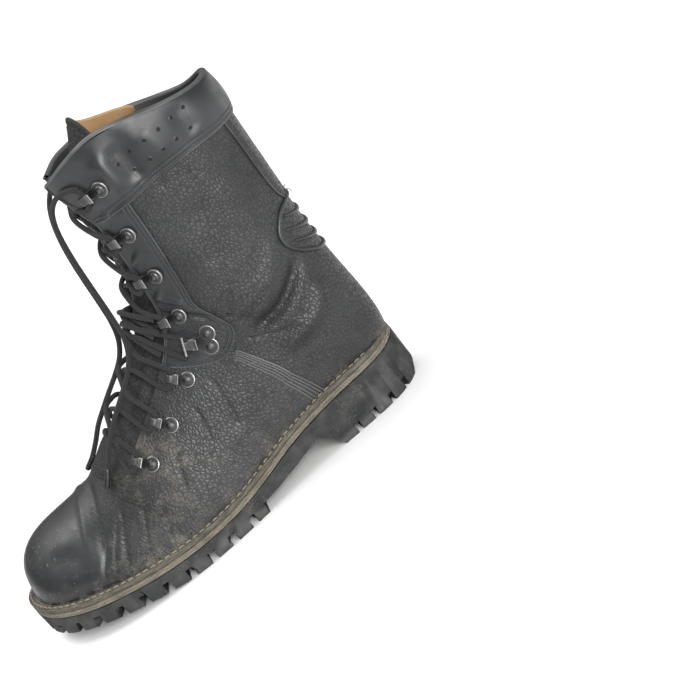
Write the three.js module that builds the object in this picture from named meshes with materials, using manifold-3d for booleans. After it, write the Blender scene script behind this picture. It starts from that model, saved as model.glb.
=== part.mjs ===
// A left work boot that stands on its lugged rubber sole: toe along -X, heel along +X, up +Z,
// the outer (lateral) side along -Y. Millimetres. The origin is the middle of the boot's
// footprint box, on the floor.

import * as THREE from "three";
import { mergeVertices } from "three/addons/utils/BufferGeometryUtils.js";
import Module from "manifold-3d";

const wasm = await Module();
wasm.setup();

// ---------------------------------------------------------------- driving dimensions

const SOLE_LENGTH = 312; // rubber, toe to heel
const BALL_WIDTH = 108; // upper across the ball
const COLLAR_HEIGHT = 262; // highest point of the collar above the floor
const WALL = 3; // leather and lining of the upper
const GAP = 0.3; // air between pieces that touch
const WELT = 3.7; // stitched strip under the upper
const MIDSOLE = 3.7; // board between welt and rubber
const INSOLE = 4; // footbed
const LUG = 7.5; // depth of the forefoot tread
const HEEL_LUG = 7; // depth of the heel tread
const TONGUE = 2.4; // tongue leather and lining
const LACE = 3.6; // round lace, across

// The station tables below are drawn for these sizes and are scaled from them.
const DRAWN = { length: 312, ball: 108, collar: 262 };
const SCALE = new THREE.Vector3(
  SOLE_LENGTH / DRAWN.length,
  BALL_WIDTH / DRAWN.ball,
  COLLAR_HEIGHT / DRAWN.collar,
);

// The middle of the boot's footprint box, seen from the heel's centre line.
const FOOTPRINT_MIDDLE = new THREE.Vector3(2.1, -1.8, 0);

// ---------------------------------------------------------------- form of the last

// Each row is one section through the boot. The sections fan out from the toe, round the
// ankle and up the shaft. A row holds: front or top point x, z; back or bottom point x, z;
// half-widths on the lateral and medial side; where between the two points the section is
// widest (0 to 1); the roundness exponents of its front and back half; and the sideways
// shift of the two points, which gives the foot its inward curve.
const STATIONS = [
  [-145, 26, -143, 14, 4, 4, 0.5, 2, 2, 6, 6], // under the toe tip
  [-148, 37, -146, 10, 14, 14, 0.55, 2, 2.4, 6, 6],
  [-145.5, 54, -140, 6, 28, 27, 0.6, 2, 2.6, 6, 6],
  [-134, 66.5, -128, 4, 41, 38, 0.62, 2, 2.8, 6, 5],
  [-115, 72.5, -108, 2, 49, 44, 0.64, 2, 3, 5, 4], // toe box
  [-92, 73, -84, -2, 54, 49, 0.66, 2, 3, 4, 2],
  [-68, 76.5, -56, -5, 57, 51, 0.68, 1.9, 3, 3, 0], // ball
  [-46, 91, -26, -8, 56, 48, 0.68, 1.8, 3, 2, -1],
  [-25, 106, 6, -6, 51, 41, 0.66, 1.8, 3, 1, -1],
  [-4, 120, 40, 0, 45, 35, 0.62, 1.8, 3, 0, 0], // waist and instep
  [12, 132, 76, 10, 41, 36, 0.58, 1.8, 2.9, 0, 0],
  [22, 144, 112, 14, 39, 38, 0.54, 1.85, 2.8, 0, 0], // ankle bend
  [28, 156, 142, 18, 39, 39, 0.5, 1.9, 2.6, 0, 0],
  [31, 168, 156.5, 34, 40, 39, 0.48, 2, 2.4, 0, 0],
  [33, 180, 158, 62, 41, 40, 0.47, 2, 2.3, 0, 0], // heel
  [35, 192, 155, 98, 41, 40, 0.48, 2.05, 2.2, 0, 0],
  [36, 206, 154, 134, 42, 41, 0.5, 2.1, 2.2, 0, 0],
  [36, 222, 156, 172, 43, 42, 0.5, 2.1, 2.2, 0, 0], // shaft
  [35, 240, 158, 212, 44, 43, 0.5, 2.1, 2.2, 0, 0],
  [34, 258, 160, 250, 45, 44, 0.5, 2.1, 2.2, 0, 0],
  [34, 276, 161, 276, 45, 44, 0.5, 2.1, 2.2, 0, 0], // above the collar
];
const LAST_STATION = STATIONS.length - 1;

// A section at any place along the rows: a uniform cubic B-spline through them, with each
// end row mirrored so that the spline reaches it.
function section(place) {
  const w = THREE.MathUtils.clamp(place, 0, LAST_STATION - 1e-9);
  const i = Math.floor(w);
  const f = w - i;
  const row = (k) => STATIONS[THREE.MathUtils.clamp(k, 0, LAST_STATION)];
  const value = (k, c) => {
    if (k < 0) return 2 * row(0)[c] - row(1)[c];
    if (k > LAST_STATION) return 2 * row(LAST_STATION)[c] - row(LAST_STATION - 1)[c];
    return row(k)[c];
  };
  const weights = [
    (1 - f) ** 3 / 6,
    (3 * f ** 3 - 6 * f ** 2 + 4) / 6,
    (-3 * f ** 3 + 3 * f ** 2 + 3 * f + 1) / 6,
    f ** 3 / 6,
  ];
  return STATIONS[0].map((_, c) => weights.reduce((sum, b, k) => sum + b * value(i - 1 + k, c), 0));
}

// A point of the boot's outer surface. angle is 0 on the front or top ridge and +-PI at the
// back or bottom; negative angles lie on the lateral side.
function skin(place, angle) {
  const [xt, zt, xb, zb, lateral, medial, widest, nTop, nBack, yt, yb] = section(place);
  const c = Math.cos(angle);
  const n = c >= 0 ? nTop : nBack;
  const across = Math.abs(Math.sin(angle)) ** (2 / n);
  const along = Math.abs(c) ** (2 / n);
  const t = c >= 0 ? widest * (1 - along) : widest + (1 - widest) * along;
  const half = angle < 0 ? -lateral : medial;
  return new THREE.Vector3(xt + (xb - xt) * t, yt + (yb - yt) * t + half * across, zt + (zb - zt) * t)
    .multiply(SCALE);
}

// The outward normal of that surface.
function skinNormal(place, angle) {
  const step = 1e-3;
  const up = skin(place + step, angle).sub(skin(place - step, angle));
  const round = skin(place, angle + step).sub(skin(place, angle - step));
  return up.cross(round).normalize();
}

// A point at a height above the outer surface; below it when the height is negative.
function above(place, angle, height) {
  return skin(place, angle).addScaledVector(skinNormal(place, angle), height);
}

// ---------------------------------------------------------------- solids

// A closed geometry as a solid that can be joined and cut.
function solid(geometry) {
  const bare = new THREE.BufferGeometry();
  bare.setAttribute("position", geometry.getAttribute("position"));
  bare.setIndex(geometry.index);
  const merged = mergeVertices(bare, 1e-4);
  return new wasm.Manifold(
    new wasm.Mesh({
      numProp: 3,
      vertProperties: merged.attributes.position.array,
      triVerts: new Uint32Array(merged.index.array),
    }),
  );
}

// A solid back as a geometry.
function geometryOf(shape) {
  const mesh = shape.getMesh();
  const geometry = new THREE.BufferGeometry();
  geometry.setAttribute("position", new THREE.BufferAttribute(mesh.vertProperties, 3));
  geometry.setIndex(new THREE.BufferAttribute(mesh.triVerts, 1));
  geometry.computeVertexNormals();
  return geometry;
}

const join = (shapes) => shapes.reduce((all, one) => all.add(one));

// A closed sock: the boot's surface sunk by a depth, with both ends capped.
function sock(depth, rows, columns) {
  const points = [];
  const faces = [];
  for (let i = 0; i <= rows; i++)
    for (let j = 0; j < columns; j++)
      points.push(above((i / rows) * LAST_STATION, ((j / columns) * 2 - 1) * Math.PI, -depth));
  const at = (i, j) => i * columns + (j % columns);
  for (let i = 0; i < rows; i++)
    for (let j = 0; j < columns; j++)
      faces.push(at(i, j), at(i + 1, j), at(i, j + 1), at(i, j + 1), at(i + 1, j), at(i + 1, j + 1));
  for (const [i, way] of [[0, 1], [rows, -1]]) {
    const middle = new THREE.Vector3();
    for (let j = 0; j < columns; j++) middle.addScaledVector(points[at(i, j)], 1 / columns);
    points.push(middle);
    for (let j = 0; j < columns; j++) {
      const [a, b] = way > 0 ? [at(i, j), at(i, j + 1)] : [at(i, j + 1), at(i, j)];
      faces.push(points.length - 1, a, b);
    }
  }
  return solidOf(points, faces);
}

function solidOf(points, faces) {
  const geometry = new THREE.BufferGeometry().setFromPoints(points);
  geometry.setIndex(faces);
  return solid(geometry);
}

// A closed curved sheet. place(u, v, side) gives its outer (side 0) and inner (side 1)
// surface, with u along the rows and v across them, both 0 to 1.
function sheet(place, rows, columns) {
  const points = [];
  const faces = [];
  for (let side = 0; side < 2; side++)
    for (let i = 0; i <= rows; i++)
      for (let j = 0; j <= columns; j++) points.push(place(i / rows, j / columns, side));
  const at = (side, i, j) => side * (rows + 1) * (columns + 1) + i * (columns + 1) + j;
  const quad = (a, b, c, d) => faces.push(a, b, c, a, c, d);
  for (let i = 0; i < rows; i++)
    for (let j = 0; j < columns; j++) {
      quad(at(0, i, j), at(0, i + 1, j), at(0, i + 1, j + 1), at(0, i, j + 1));
      quad(at(1, i, j), at(1, i, j + 1), at(1, i + 1, j + 1), at(1, i + 1, j));
    }
  for (let i = 0; i < rows; i++) {
    quad(at(0, i, 0), at(1, i, 0), at(1, i + 1, 0), at(0, i + 1, 0));
    quad(at(0, i, columns), at(0, i + 1, columns), at(1, i + 1, columns), at(1, i, columns));
  }
  for (let j = 0; j < columns; j++) {
    quad(at(0, 0, j), at(0, 0, j + 1), at(1, 0, j + 1), at(1, 0, j));
    quad(at(0, rows, j), at(1, rows, j), at(1, rows, j + 1), at(0, rows, j + 1));
  }
  return solidOf(points, faces);
}

// An outline in plan (x, y) as an upright prism.
function planPrism(outline, low = -20, high = 60) {
  const geometry = new THREE.ExtrudeGeometry(new THREE.Shape(outline), {
    depth: high - low,
    bevelEnabled: false,
  });
  return solid(geometry.translate(0, 0, low));
}

// An outline seen from the side (x, z) as a prism across the whole boot.
function sidePrism(outline) {
  const reach = 90;
  const geometry = new THREE.ExtrudeGeometry(new THREE.Shape(outline), {
    depth: 2 * reach,
    bevelEnabled: false,
  });
  return solid(geometry.rotateX(Math.PI / 2).translate(0, reach, 0));
}

// A smooth height over x through a few points: cubic pieces whose slope at a point is the
// slope between its neighbours.
function heightThrough(points) {
  const slope = points.map((_, i) => {
    const a = points[Math.max(i - 1, 0)];
    const b = points[Math.min(i + 1, points.length - 1)];
    return (b[1] - a[1]) / (b[0] - a[0]);
  });
  return (x) => {
    const clamped = THREE.MathUtils.clamp(x, points[0][0], points.at(-1)[0]);
    let i = points.findIndex((p) => p[0] >= clamped) - 1;
    i = Math.max(i, 0);
    const span = points[i + 1][0] - points[i][0];
    const f = (clamped - points[i][0]) / span;
    const a = (2 * f ** 3 - 3 * f ** 2 + 1) * points[i][1];
    const b = (f ** 3 - 2 * f ** 2 + f) * span * slope[i];
    const c = (-2 * f ** 3 + 3 * f ** 2) * points[i + 1][1];
    const d = (f ** 3 - f ** 2) * span * slope[i + 1];
    return a + b + c + d;
  };
}

// Points along a height curve, from x0 to x1.
function heightLine(height, x0, x1, steps) {
  return Array.from({ length: steps + 1 }, (_, i) => {
    const x = x0 + ((x1 - x0) * i) / steps;
    return new THREE.Vector2(x, height(x));
  });
}

// The side outline between two height curves, from x0 to x1.
function bandProfile(low, high, x0, x1, steps = 16) {
  return [...heightLine(low, x0, x1, steps), ...heightLine(high, x0, x1, steps).reverse()];
}

// ---------------------------------------------------------------- sole

const SOLE_REACH = 158; // profiles of the sole run from -SOLE_REACH to SOLE_REACH

// Top of the welt, where the upper meets the sole.
const weltTop = heightThrough([
  [-158, 37], [-140, 33.6], [-112, 29.2], [-65, 23.6], [-20, 21.5],
  [15, 24], [60, 33.5], [100, 38.5], [158, 39.4],
]);
// Tips of the tread: the toe springs up, the ball and the heel stand on the floor.
const toeSpring = heightThrough([
  [-158, 13.4], [-137, 11.6], [-106, 7.9], [-74, 3.6], [-52, 1], [-35, 0], [158, 0],
]);
const treadTip = (x) => Math.max(toeSpring(x), 0);
const deck = (x) => weltTop(x) - WELT - MIDSOLE - 2 * GAP;
const midsoleTop = (x) => weltTop(x) - WELT - GAP;
const upperFoot = (x) => weltTop(x) + GAP;

// Points that the edge of the sole runs through, from the heel's back round the lateral
// side, the toe and the medial side.
const SOLE_EDGE = [
  [156, 0], [153, -13], [143, -27], [125, -36], [95, -40.5], [60, -44], [25, -50.5],
  [-10, -58], [-46, -61.5], [-80, -59], [-112, -51], [-136, -36.5], [-150.5, -17],
  [-156, 6], [-150.5, 28], [-136, 45], [-112, 55], [-80, 58], [-46, 55.5], [-10, 47],
  [25, 40], [60, 37.5], [95, 38], [125, 35.5], [143, 27], [153, 13],
];
const soleCurve = new THREE.CatmullRomCurve3(
  SOLE_EDGE.map(([x, y]) => new THREE.Vector3(x, y, 0).multiply(SCALE)),
  true,
  "catmullrom",
);

// A point of the sole's edge and the way inwards there; s runs 0 to 1 round the sole.
function edgeAt(s) {
  const point = soleCurve.getPointAt(s);
  const tangent = soleCurve.getTangentAt(s);
  return {
    point: new THREE.Vector2(point.x, point.y),
    inward: new THREE.Vector2(tangent.y, -tangent.x),
  };
}

// The sole's outline, drawn in from its edge by an inset.
function soleOutline(inset, steps = 64) {
  return Array.from({ length: steps }, (_, i) => {
    const { point, inward } = edgeAt(i / steps);
    return point.addScaledVector(inward, inset);
  });
}

// A groove of the tread from beyond the edge inwards, with a step to the side half-way.
function groove(s, { width, length, jog }) {
  const beyond = 6;
  const slant = 2;
  const { point, inward } = edgeAt(s);
  const side = new THREE.Vector2(-inward.y, inward.x);
  const at = (along, across) =>
    point.clone().addScaledVector(inward, along).addScaledVector(side, across);
  const half = width / 2;
  const bend = length / 2;
  const shift = s < 0.5 ? jog : -jog;
  const near = [at(bend - slant, half), at(-beyond, half), at(-beyond, -half), at(bend - slant, -half)];
  const far = [at(bend + slant, shift - half), at(length, shift - half)];
  const back = [at(length, shift + half), at(bend + slant, shift + half)];
  return planPrism([...near, ...far, ...back].reverse());
}

// A cross-shaped stud of the tread.
function crossStud(x, y, reach, turn) {
  const arm = reach * 0.36;
  const outline = [];
  for (let quarter = 0; quarter < 4; quarter++)
    for (const [px, py] of [[arm, arm], [arm, reach], [-arm, reach]]) {
      const corner = new THREE.Vector2(px, py);
      outline.push(corner.rotateAround(new THREE.Vector2(), turn + (quarter * Math.PI) / 2));
    }
  return planPrism(outline.map((p) => p.add(new THREE.Vector2(x, y))));
}

const sideOutline = (points) => points.map(([x, z]) => new THREE.Vector2(x, z));

const OVERLAP = 0.5; // how far the tread reaches into the slab that it is joined to

const FOREFOOT_END = 17; // back of the forefoot tread
const EDGE_LUGS = { grooves: 23, first: 0.2365, last: 0.7655 }; // grooves round the forefoot's edge
const EDGE_GROOVE = { width: 5.4, length: 33, jog: 3.5 };
const CENTRE = { inset: 31, front: -130, back: FOREFOOT_END + 6, lateral: -22, medial: 8 };
const CENTRE_STUDS = [[-104, 2], [-82, -12], [-82, 13], [-58, 1], [-36, -13], [-36, 12], [-13, -2]];
const CENTRE_STUD = { reach: 9.5, turn: 0.3, turnStep: 0.5 };

const WAIST = [[30, 8.6], [50, 11.8], [64, 15]]; // underside between forefoot and heel
const BREAST = { top: [73, 17.6], root: [80, HEEL_LUG], foot: [84.5, 0] }; // heel's front face
const HEEL_BACK = { top: [157, 26], root: [154.6, HEEL_LUG], knee: [155, 6], foot: [149.5, 0] };
const HEEL_SLOTS = [0.0465, 0.067, 0.088, 0.108]; // round the edge, on both sides
const HEEL_SLOT = { width: 4, length: 20, jog: 0 };
const HEEL_FIELD = { front: 95, middle: 127, half: 16 };
const HEEL_STUDS = [[103, 0], [124, 0]];
const HEEL_STUD_REACH = 9;

// The hollow in the middle of the forefoot tread.
function centreField() {
  const outline = soleOutline(CENTRE.inset, 60)
    .filter((p) => p.x < FOREFOOT_END - 2 && p.x > CENTRE.front);
  outline.push(new THREE.Vector2(CENTRE.back, CENTRE.medial));
  outline.push(new THREE.Vector2(CENTRE.back, CENTRE.lateral));
  const bearing = (p) => Math.atan2(p.y, p.x + 50);
  return planPrism(outline.sort((a, b) => bearing(a) - bearing(b)));
}

// The hollow in the middle of the heel tread.
function heelField() {
  const { front, middle, half } = HEEL_FIELD;
  const outline = new THREE.Shape()
    .moveTo(front, -half)
    .lineTo(middle, -half)
    .absarc(middle, 0, half, -Math.PI / 2, Math.PI / 2)
    .lineTo(front, half);
  return planPrism(outline.getPoints(5));
}

function outsole() {
  const lugRoot = (x) => treadTip(x) + LUG;
  const plan = planPrism(soleOutline(0));
  const slab = plan.intersect(sidePrism([
    ...heightLine(lugRoot, -SOLE_REACH, FOREFOOT_END, 10),
    ...sideOutline([...WAIST, BREAST.top, BREAST.root, HEEL_BACK.root, HEEL_BACK.top]),
    ...heightLine(deck, -SOLE_REACH, SOLE_REACH, 14).reverse(),
  ]));

  // Forefoot tread: edge lugs between stepped grooves, and cross studs in the middle field.
  const { grooves, first, last } = EDGE_LUGS;
  const edgeGrooves = Array.from({ length: grooves }, (_, k) =>
    groove(first + ((last - first) * k) / (grooves - 1), EDGE_GROOVE));
  const studs = CENTRE_STUDS.map(([x, y], i) =>
    crossStud(x, y, CENTRE_STUD.reach, CENTRE_STUD.turn + i * CENTRE_STUD.turnStep));
  const lugs = plan.subtract(centreField()).subtract(join(edgeGrooves));
  const intoSlab = (x) => lugRoot(x) + OVERLAP;
  const forefootBand = sidePrism(bandProfile(treadTip, intoSlab, -SOLE_REACH, FOREFOOT_END, 10));
  const forefootTread = forefootBand.intersect(lugs.add(join(studs)));

  // Heel tread: a rim of lugs between short slots, and studs inside it.
  const slots = HEEL_SLOTS.flatMap((s) => [groove(s, HEEL_SLOT), groove(1 - s, HEEL_SLOT)]);
  const heelStuds = HEEL_STUDS.map(([x, y]) => crossStud(x, y, HEEL_STUD_REACH, Math.PI / 4));
  const rim = plan.subtract(join(slots)).subtract(heelField());
  const heelBand = sidePrism(sideOutline([
    [BREAST.root[0], HEEL_LUG + OVERLAP],
    BREAST.foot,
    HEEL_BACK.foot,
    HEEL_BACK.knee,
    [HEEL_BACK.root[0] + OVERLAP, HEEL_LUG + OVERLAP],
  ]));
  const heelTread = heelBand.intersect(rim.add(join(heelStuds)));

  return slab.add(forefootTread).add(heelTread);
}

const MIDSOLE_INSET = 0.4;
const WELT_INSET = { outer: 0.9, inner: 13 };

function midsole() {
  const underside = (x) => deck(x) + GAP;
  const band = sidePrism(bandProfile(underside, midsoleTop, -SOLE_REACH, SOLE_REACH, 14));
  return planPrism(soleOutline(MIDSOLE_INSET, 60)).intersect(band);
}

function welt() {
  const underside = (x) => midsoleTop(x) + GAP;
  const band = sidePrism(bandProfile(underside, weltTop, -SOLE_REACH, SOLE_REACH, 14));
  const ring = planPrism(soleOutline(WELT_INSET.outer, 60))
    .subtract(planPrism(soleOutline(WELT_INSET.inner, 48)));
  return ring.intersect(band);
}

// ---------------------------------------------------------------- upper

// Top edge of the collar from front to back.
const collarTop = heightThrough([
  [20, 243], [36, 250], [55, 257.5], [78, 262], [100, 258.5], [128, 250.5], [150, 246], [166, 246],
]);

// Half the throat's opening angle along the boot: a round end on the vamp, an even gap under
// the hooks, and a collar that closes in at the top.
const THROAT = {
  end: 6.3, // place of the round end
  rounding: 0.8, // how far along the boot the round end opens
  angle: THREE.MathUtils.degToRad(38),
  closing: [17.5, 18.7], // where the collar closes in
  closed: THREE.MathUtils.degToRad(15), // and by how much
};
function throatAngle(place) {
  const rise = THREE.MathUtils.clamp((place - THROAT.end) / THROAT.rounding, 0, 1);
  const closing = THREE.MathUtils.smoothstep(place, ...THROAT.closing) * THROAT.closed;
  return THROAT.angle * Math.sqrt(1 - (1 - rise) ** 2) - closing;
}

// The cutter for the throat: a sheet through the wall, with closer rows at the round end.
function throat() {
  const start = THROAT.end + 0.01;
  const top = LAST_STATION - 0.2;
  return sheet((u, v, side) => {
    const place = start + (top - start) * u ** 1.6;
    return above(place, (2 * v - 1) * throatAngle(place), side ? -WALL - 3 : 5);
  }, 24, 6);
}

const SOCK_ROWS = 30;
const SOCK_COLUMNS = 28;

function upper() {
  const under = sidePrism(bandProfile(() => -60, upperFoot, -190, 190, 20));
  const over = sidePrism(bandProfile(collarTop, () => 330, 0, 190, 16));
  return sock(0, SOCK_ROWS, SOCK_COLUMNS)
    .subtract(sock(WALL, SOCK_ROWS, SOCK_COLUMNS))
    .subtract(under)
    .subtract(over)
    .subtract(throat());
}

const INSOLE_CLEARANCE = 1.3; // between the footbed's edge and the wall

function insole() {
  const slab = sidePrism(bandProfile(upperFoot, (x) => upperFoot(x) + INSOLE, -170, 170, 14));
  return sock(WALL + INSOLE_CLEARANCE, 20, 22).intersect(slab);
}

// The tongue lies under the facings. Above the hooks it leans back into the shaft, and its
// top stands above the collar.
const TONGUE_FORM = {
  root: 5.9, // place of its sewn end
  top: 19.5, // place of its free end
  corner: 0.5, // how much lower the free end's corners are
  angle: THREE.MathUtils.degToRad(54), // half its wrap round the foot
  taper: 0.45, // how much narrower the sewn end is
  lean: 41, // how far the free end leans back
  pinch: 0.16, // how much narrower the leaning end is
  depth: WALL + 1, // under the boot's outer surface
};
function tonguePoint(u, v, side) {
  const { root, top, corner, angle, taper, pinch, depth } = TONGUE_FORM;
  const across = 2 * v - 1;
  const place = root + (top - corner * Math.abs(across) ** 5 - root) * u;
  const wide = 1 - taper * (1 - THREE.MathUtils.smoothstep(place, root - 1.2, root + 2));
  const lean = THREE.MathUtils.smoothstep(place, 16.6, 20.4);
  const point = above(place, across * angle * wide, -depth - side * TONGUE);
  point.x += TONGUE_FORM.lean * lean;
  point.y *= 1 - pinch * lean;
  return point;
}
const tongue = () => sheet(tonguePoint, 20, 8);

// ---------------------------------------------------------------- hooks

const METAL = 1.1; // sheet of the hooks
const CHANNEL = 5; // height of the channel that holds the lace, metal included
const LIP = 0.5; // rise of the prong's lip
const DOME = { radius: 2.9, height: 1.3 }; // head of a rivet

// One speed hook, flat on the XY plane: the rivet at the origin, the hook's bend along +X.
// reach is the distance from the rivet to the bend; the prong comes half-way back.
function hook({ reach, width, plate, rivets }) {
  const bend = CHANNEL / 2;
  const straight = reach - bend;
  const lip = reach / 2;
  const outline = new THREE.Shape()
    .moveTo(0, 0)
    .lineTo(straight, 0)
    .absarc(straight, bend, bend, -Math.PI / 2, Math.PI / 2)
    .lineTo(lip, CHANNEL + LIP)
    .lineTo(lip, CHANNEL + LIP - METAL)
    .lineTo(straight, CHANNEL - METAL)
    .absarc(straight, bend, bend - METAL, Math.PI / 2, -Math.PI / 2, true)
    .lineTo(0, METAL);
  const strip = new THREE.ExtrudeGeometry(outline, {
    depth: width,
    bevelEnabled: false,
    curveSegments: 2,
  });
  strip.rotateX(Math.PI / 2).translate(0, width / 2, 0);
  const disc = (radius, height, x, y) => {
    const cylinder = new THREE.CylinderGeometry(radius, radius, height, 8);
    return solid(cylinder.rotateX(Math.PI / 2).translate(x, y, height / 2));
  };
  const shapes = [solid(strip)];
  for (const [x, y] of rivets) {
    shapes.push(disc(plate, METAL, x, y));
    shapes.push(disc(DOME.radius, METAL + DOME.height, x, y));
  }
  return join(shapes);
}

const SHAFT_HOOK = { reach: 15, width: 8.4, plate: 5.4, rivets: [[0, 0]] };
const VAMP_HOOK = { reach: 13.5, width: 8, plate: 5.4, rivets: [[0, 0]] };
const LOCK_HOOK = { reach: 18, width: 9, plate: 5.6, rivets: [[-0.5, 4.4], [-0.5, -4.4]] };

// Where each hook's rivet and bend lie: place along the stations, and degrees from the front.
const HOOKS = [
  { name: "shaft_hook_1", form: SHAFT_HOOK, rivet: [18.05, 61], bend: [17.9, 43] },
  { name: "shaft_hook_2", form: SHAFT_HOOK, rivet: [16.45, 55.5], bend: [16.1, 36] },
  { name: "shaft_hook_3", form: SHAFT_HOOK, rivet: [14.65, 53], bend: [14, 33] },
  { name: "shaft_hook_4", form: SHAFT_HOOK, rivet: [12.6, 51.5], bend: [11.8, 35] },
  { name: "lock_hook", form: LOCK_HOOK, rivet: [11.75, 62.5], bend: [11.1, 47] },
  { name: "vamp_hook_1", form: VAMP_HOOK, rivet: [10.1, 54.5], bend: [9.8, 41] },
  { name: "vamp_hook_2", form: VAMP_HOOK, rivet: [8.8, 53.5], bend: [8.55, 40] },
  { name: "vamp_hook_3", form: VAMP_HOOK, rivet: [7.75, 52], bend: [7.45, 39] },
];
const SIDES = [["lateral", -1], ["medial", 1]];
const HOOK_CLEARANCE = 0.8;

// The frame of a hook: its X towards the bend, its Z along the normal at the hook's middle.
function hookFrame({ rivet, bend }, way) {
  const angle = (degrees) => THREE.MathUtils.degToRad(degrees) * way;
  const foot = skin(rivet[0], angle(rivet[1]));
  const front = skin(bend[0], angle(bend[1]));
  const normal = skinNormal((rivet[0] + bend[0]) / 2, angle((rivet[1] + bend[1]) / 2));
  const middle = skin((rivet[0] + bend[0]) / 2, angle((rivet[1] + bend[1]) / 2));
  const x = front.sub(foot).addScaledVector(normal, -front.dot(normal)).normalize();
  const y = new THREE.Vector3().crossVectors(normal, x);
  const lift = middle.sub(foot).dot(normal) + HOOK_CLEARANCE;
  const origin = foot.clone().addScaledVector(normal, lift);
  return new THREE.Matrix4().makeBasis(x, y, normal).setPosition(origin);
}

// ---------------------------------------------------------------- laces

// A round tube along a smooth curve through points.
function tube(points, steps, sides) {
  const outline = new THREE.Shape();
  for (let k = 0; k < sides; k++) {
    const turn = (k / sides) * 2 * Math.PI;
    const corner = new THREE.Vector2(Math.cos(turn), Math.sin(turn)).multiplyScalar(LACE / 2);
    if (k) outline.lineTo(corner.x, corner.y);
    else outline.moveTo(corner.x, corner.y);
  }
  const path = new THREE.CatmullRomCurve3(points, false, "catmullrom");
  return solid(new THREE.ExtrudeGeometry(outline, { steps, extrudePath: path, bevelEnabled: false }));
}

const LACE_START = 14; // degrees nearer the front than the hook's bend
const LACE_DRIFT = 0.12; // stations above or below the hook's bend
const LACE_CLEAR = 1.2; // air under a lace at a hook
const CROSSING_CLEAR = 0.9; // air under a lace at the middle

// Where a lace leaves the throat side of a hook.
function laceAt(index, way, drift) {
  const [place, angle] = HOOKS[index].bend;
  const turn = THREE.MathUtils.degToRad(angle - LACE_START) * way;
  return above(place + drift, turn, LACE / 2 + LACE_CLEAR);
}

// The crossing between two rows of hooks: one strand each way over the tongue, joined where
// they meet.
function crossing(index) {
  const middlePlace = (HOOKS[index].bend[0] + HOOKS[index + 1].bend[0]) / 2;
  const middle = above(middlePlace, 0, LACE / 2 + CROSSING_CLEAR);
  return join([-1, 1].map((way) =>
    tube([laceAt(index, way, -LACE_DRIFT), middle, laceAt(index + 1, -way, LACE_DRIFT)], 4, 6)));
}

// The straight run between the lowest pair of hooks.
function lowestBar() {
  const index = HOOKS.length - 1;
  const middle = above(HOOKS[index].bend[0] - LACE_DRIFT, 0, LACE / 2 + CROSSING_CLEAR);
  return tube([laceAt(index, -1, -LACE_DRIFT), middle, laceAt(index, 1, -LACE_DRIFT)], 4, 6);
}

// The two free ends: out of the top hooks, down in front of the shaft, and along the instep.
const LATERAL_END = [
  [53.5, -37, 240.8], [49, -35, 243.6], [43, -30.5, 244.4], [36.5, -25, 242.5], [30.5, -20, 237],
  [26, -16.5, 228], [22.8, -14.2, 216], [20.4, -13, 202], [18.6, -12.4, 187], [17, -12.2, 172],
  [15.4, -12.4, 157.5], [13, -13, 143.5], [7.6, -13.8, 132.5], [0, -15, 124.2], [-9.6, -16.6, 117.2],
  [-19.8, -18.4, 110.4], [-30.5, -20.8, 102.8], [-41, -23.4, 93.8], [-50, -26, 84],
  [-56.4, -28.2, 76.6],
];
const MEDIAL_END = [
  [53.5, 38, 240.8], [49, 36, 243.8], [42.5, 31, 244.6], [35, 24.5, 242], [28.5, 18.5, 235.5],
  [23.6, 13.5, 226], [20, 9.5, 213.5], [17.4, 6.8, 199], [15.6, 5, 184], [14, 4, 169],
  [12, 3.6, 154.5], [8, 3.6, 141.5], [1, 4, 131.4], [-8.5, 4.6, 123.8], [-19, 5.4, 117],
  [-30, 6.4, 109.6], [-40.5, 7.8, 102], [-50, 9.6, 93], [-59.5, 11.6, 85], [-66, 13.4, 80.8],
];
const freeEnd = (route) => tube(route.map((point) => new THREE.Vector3(...point)), 22, 6);

// ---------------------------------------------------------------- assembly

const rubber = () => new THREE.MeshStandardMaterial({ color: 0x2a2b2b, roughness: 0.8 });
const leather = () => new THREE.MeshStandardMaterial({ color: 0x26282a, roughness: 0.45 });
const board = () => new THREE.MeshStandardMaterial({ color: 0x6c6457, roughness: 0.85 });
const lining = () => new THREE.MeshStandardMaterial({ color: 0x8a6f4d, roughness: 0.9 });
const metal = () =>
  new THREE.MeshStandardMaterial({ color: 0x3c3e40, roughness: 0.35, metalness: 0.9 });
const cord = () => new THREE.MeshStandardMaterial({ color: 0x17181a, roughness: 0.9 });

const boot = new THREE.Group();
function add(name, shape, material) {
  const mesh = new THREE.Mesh(geometryOf(shape), material);
  mesh.name = name;
  boot.add(mesh);
  return mesh;
}

add("outsole", outsole(), rubber());
add("midsole", midsole(), board());
add("welt", welt(), board());
add("insole", insole(), lining());
add("upper", upper(), leather());
add("tongue", tongue(), leather());
for (const [side, way] of SIDES)
  for (const place of HOOKS)
    add(`${place.name}_${side}`, hook(place.form), metal()).applyMatrix4(hookFrame(place, way));
for (let index = 0; index < HOOKS.length - 1; index++)
  add(`lace_crossing_${index + 1}`, crossing(index), cord());
add("lace_bar", lowestBar(), cord());
add("lace_end_lateral", freeEnd(LATERAL_END), cord());
add("lace_end_medial", freeEnd(MEDIAL_END), cord());

boot.position.copy(FOOTPRINT_MIDDLE).negate();

export default boot;
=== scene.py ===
# %% [markdown]
# # A muddy work boot
# A high leather work boot, left foot, empty and unbent on its lugged rubber sole. The packed
# CAD part gives the fixed frame: every piece below is made in its space and stands for one or
# more of its nodes. The boot is built as a shoemaker builds it: a form for the foot first,
# then the leather cut as panels over that form, then the sole, the hooks and the lace.

# %% Load the fixed frame
import math

import bmesh
import bpy
import numpy as np
from mathutils import Matrix, Quaternion, Vector


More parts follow.
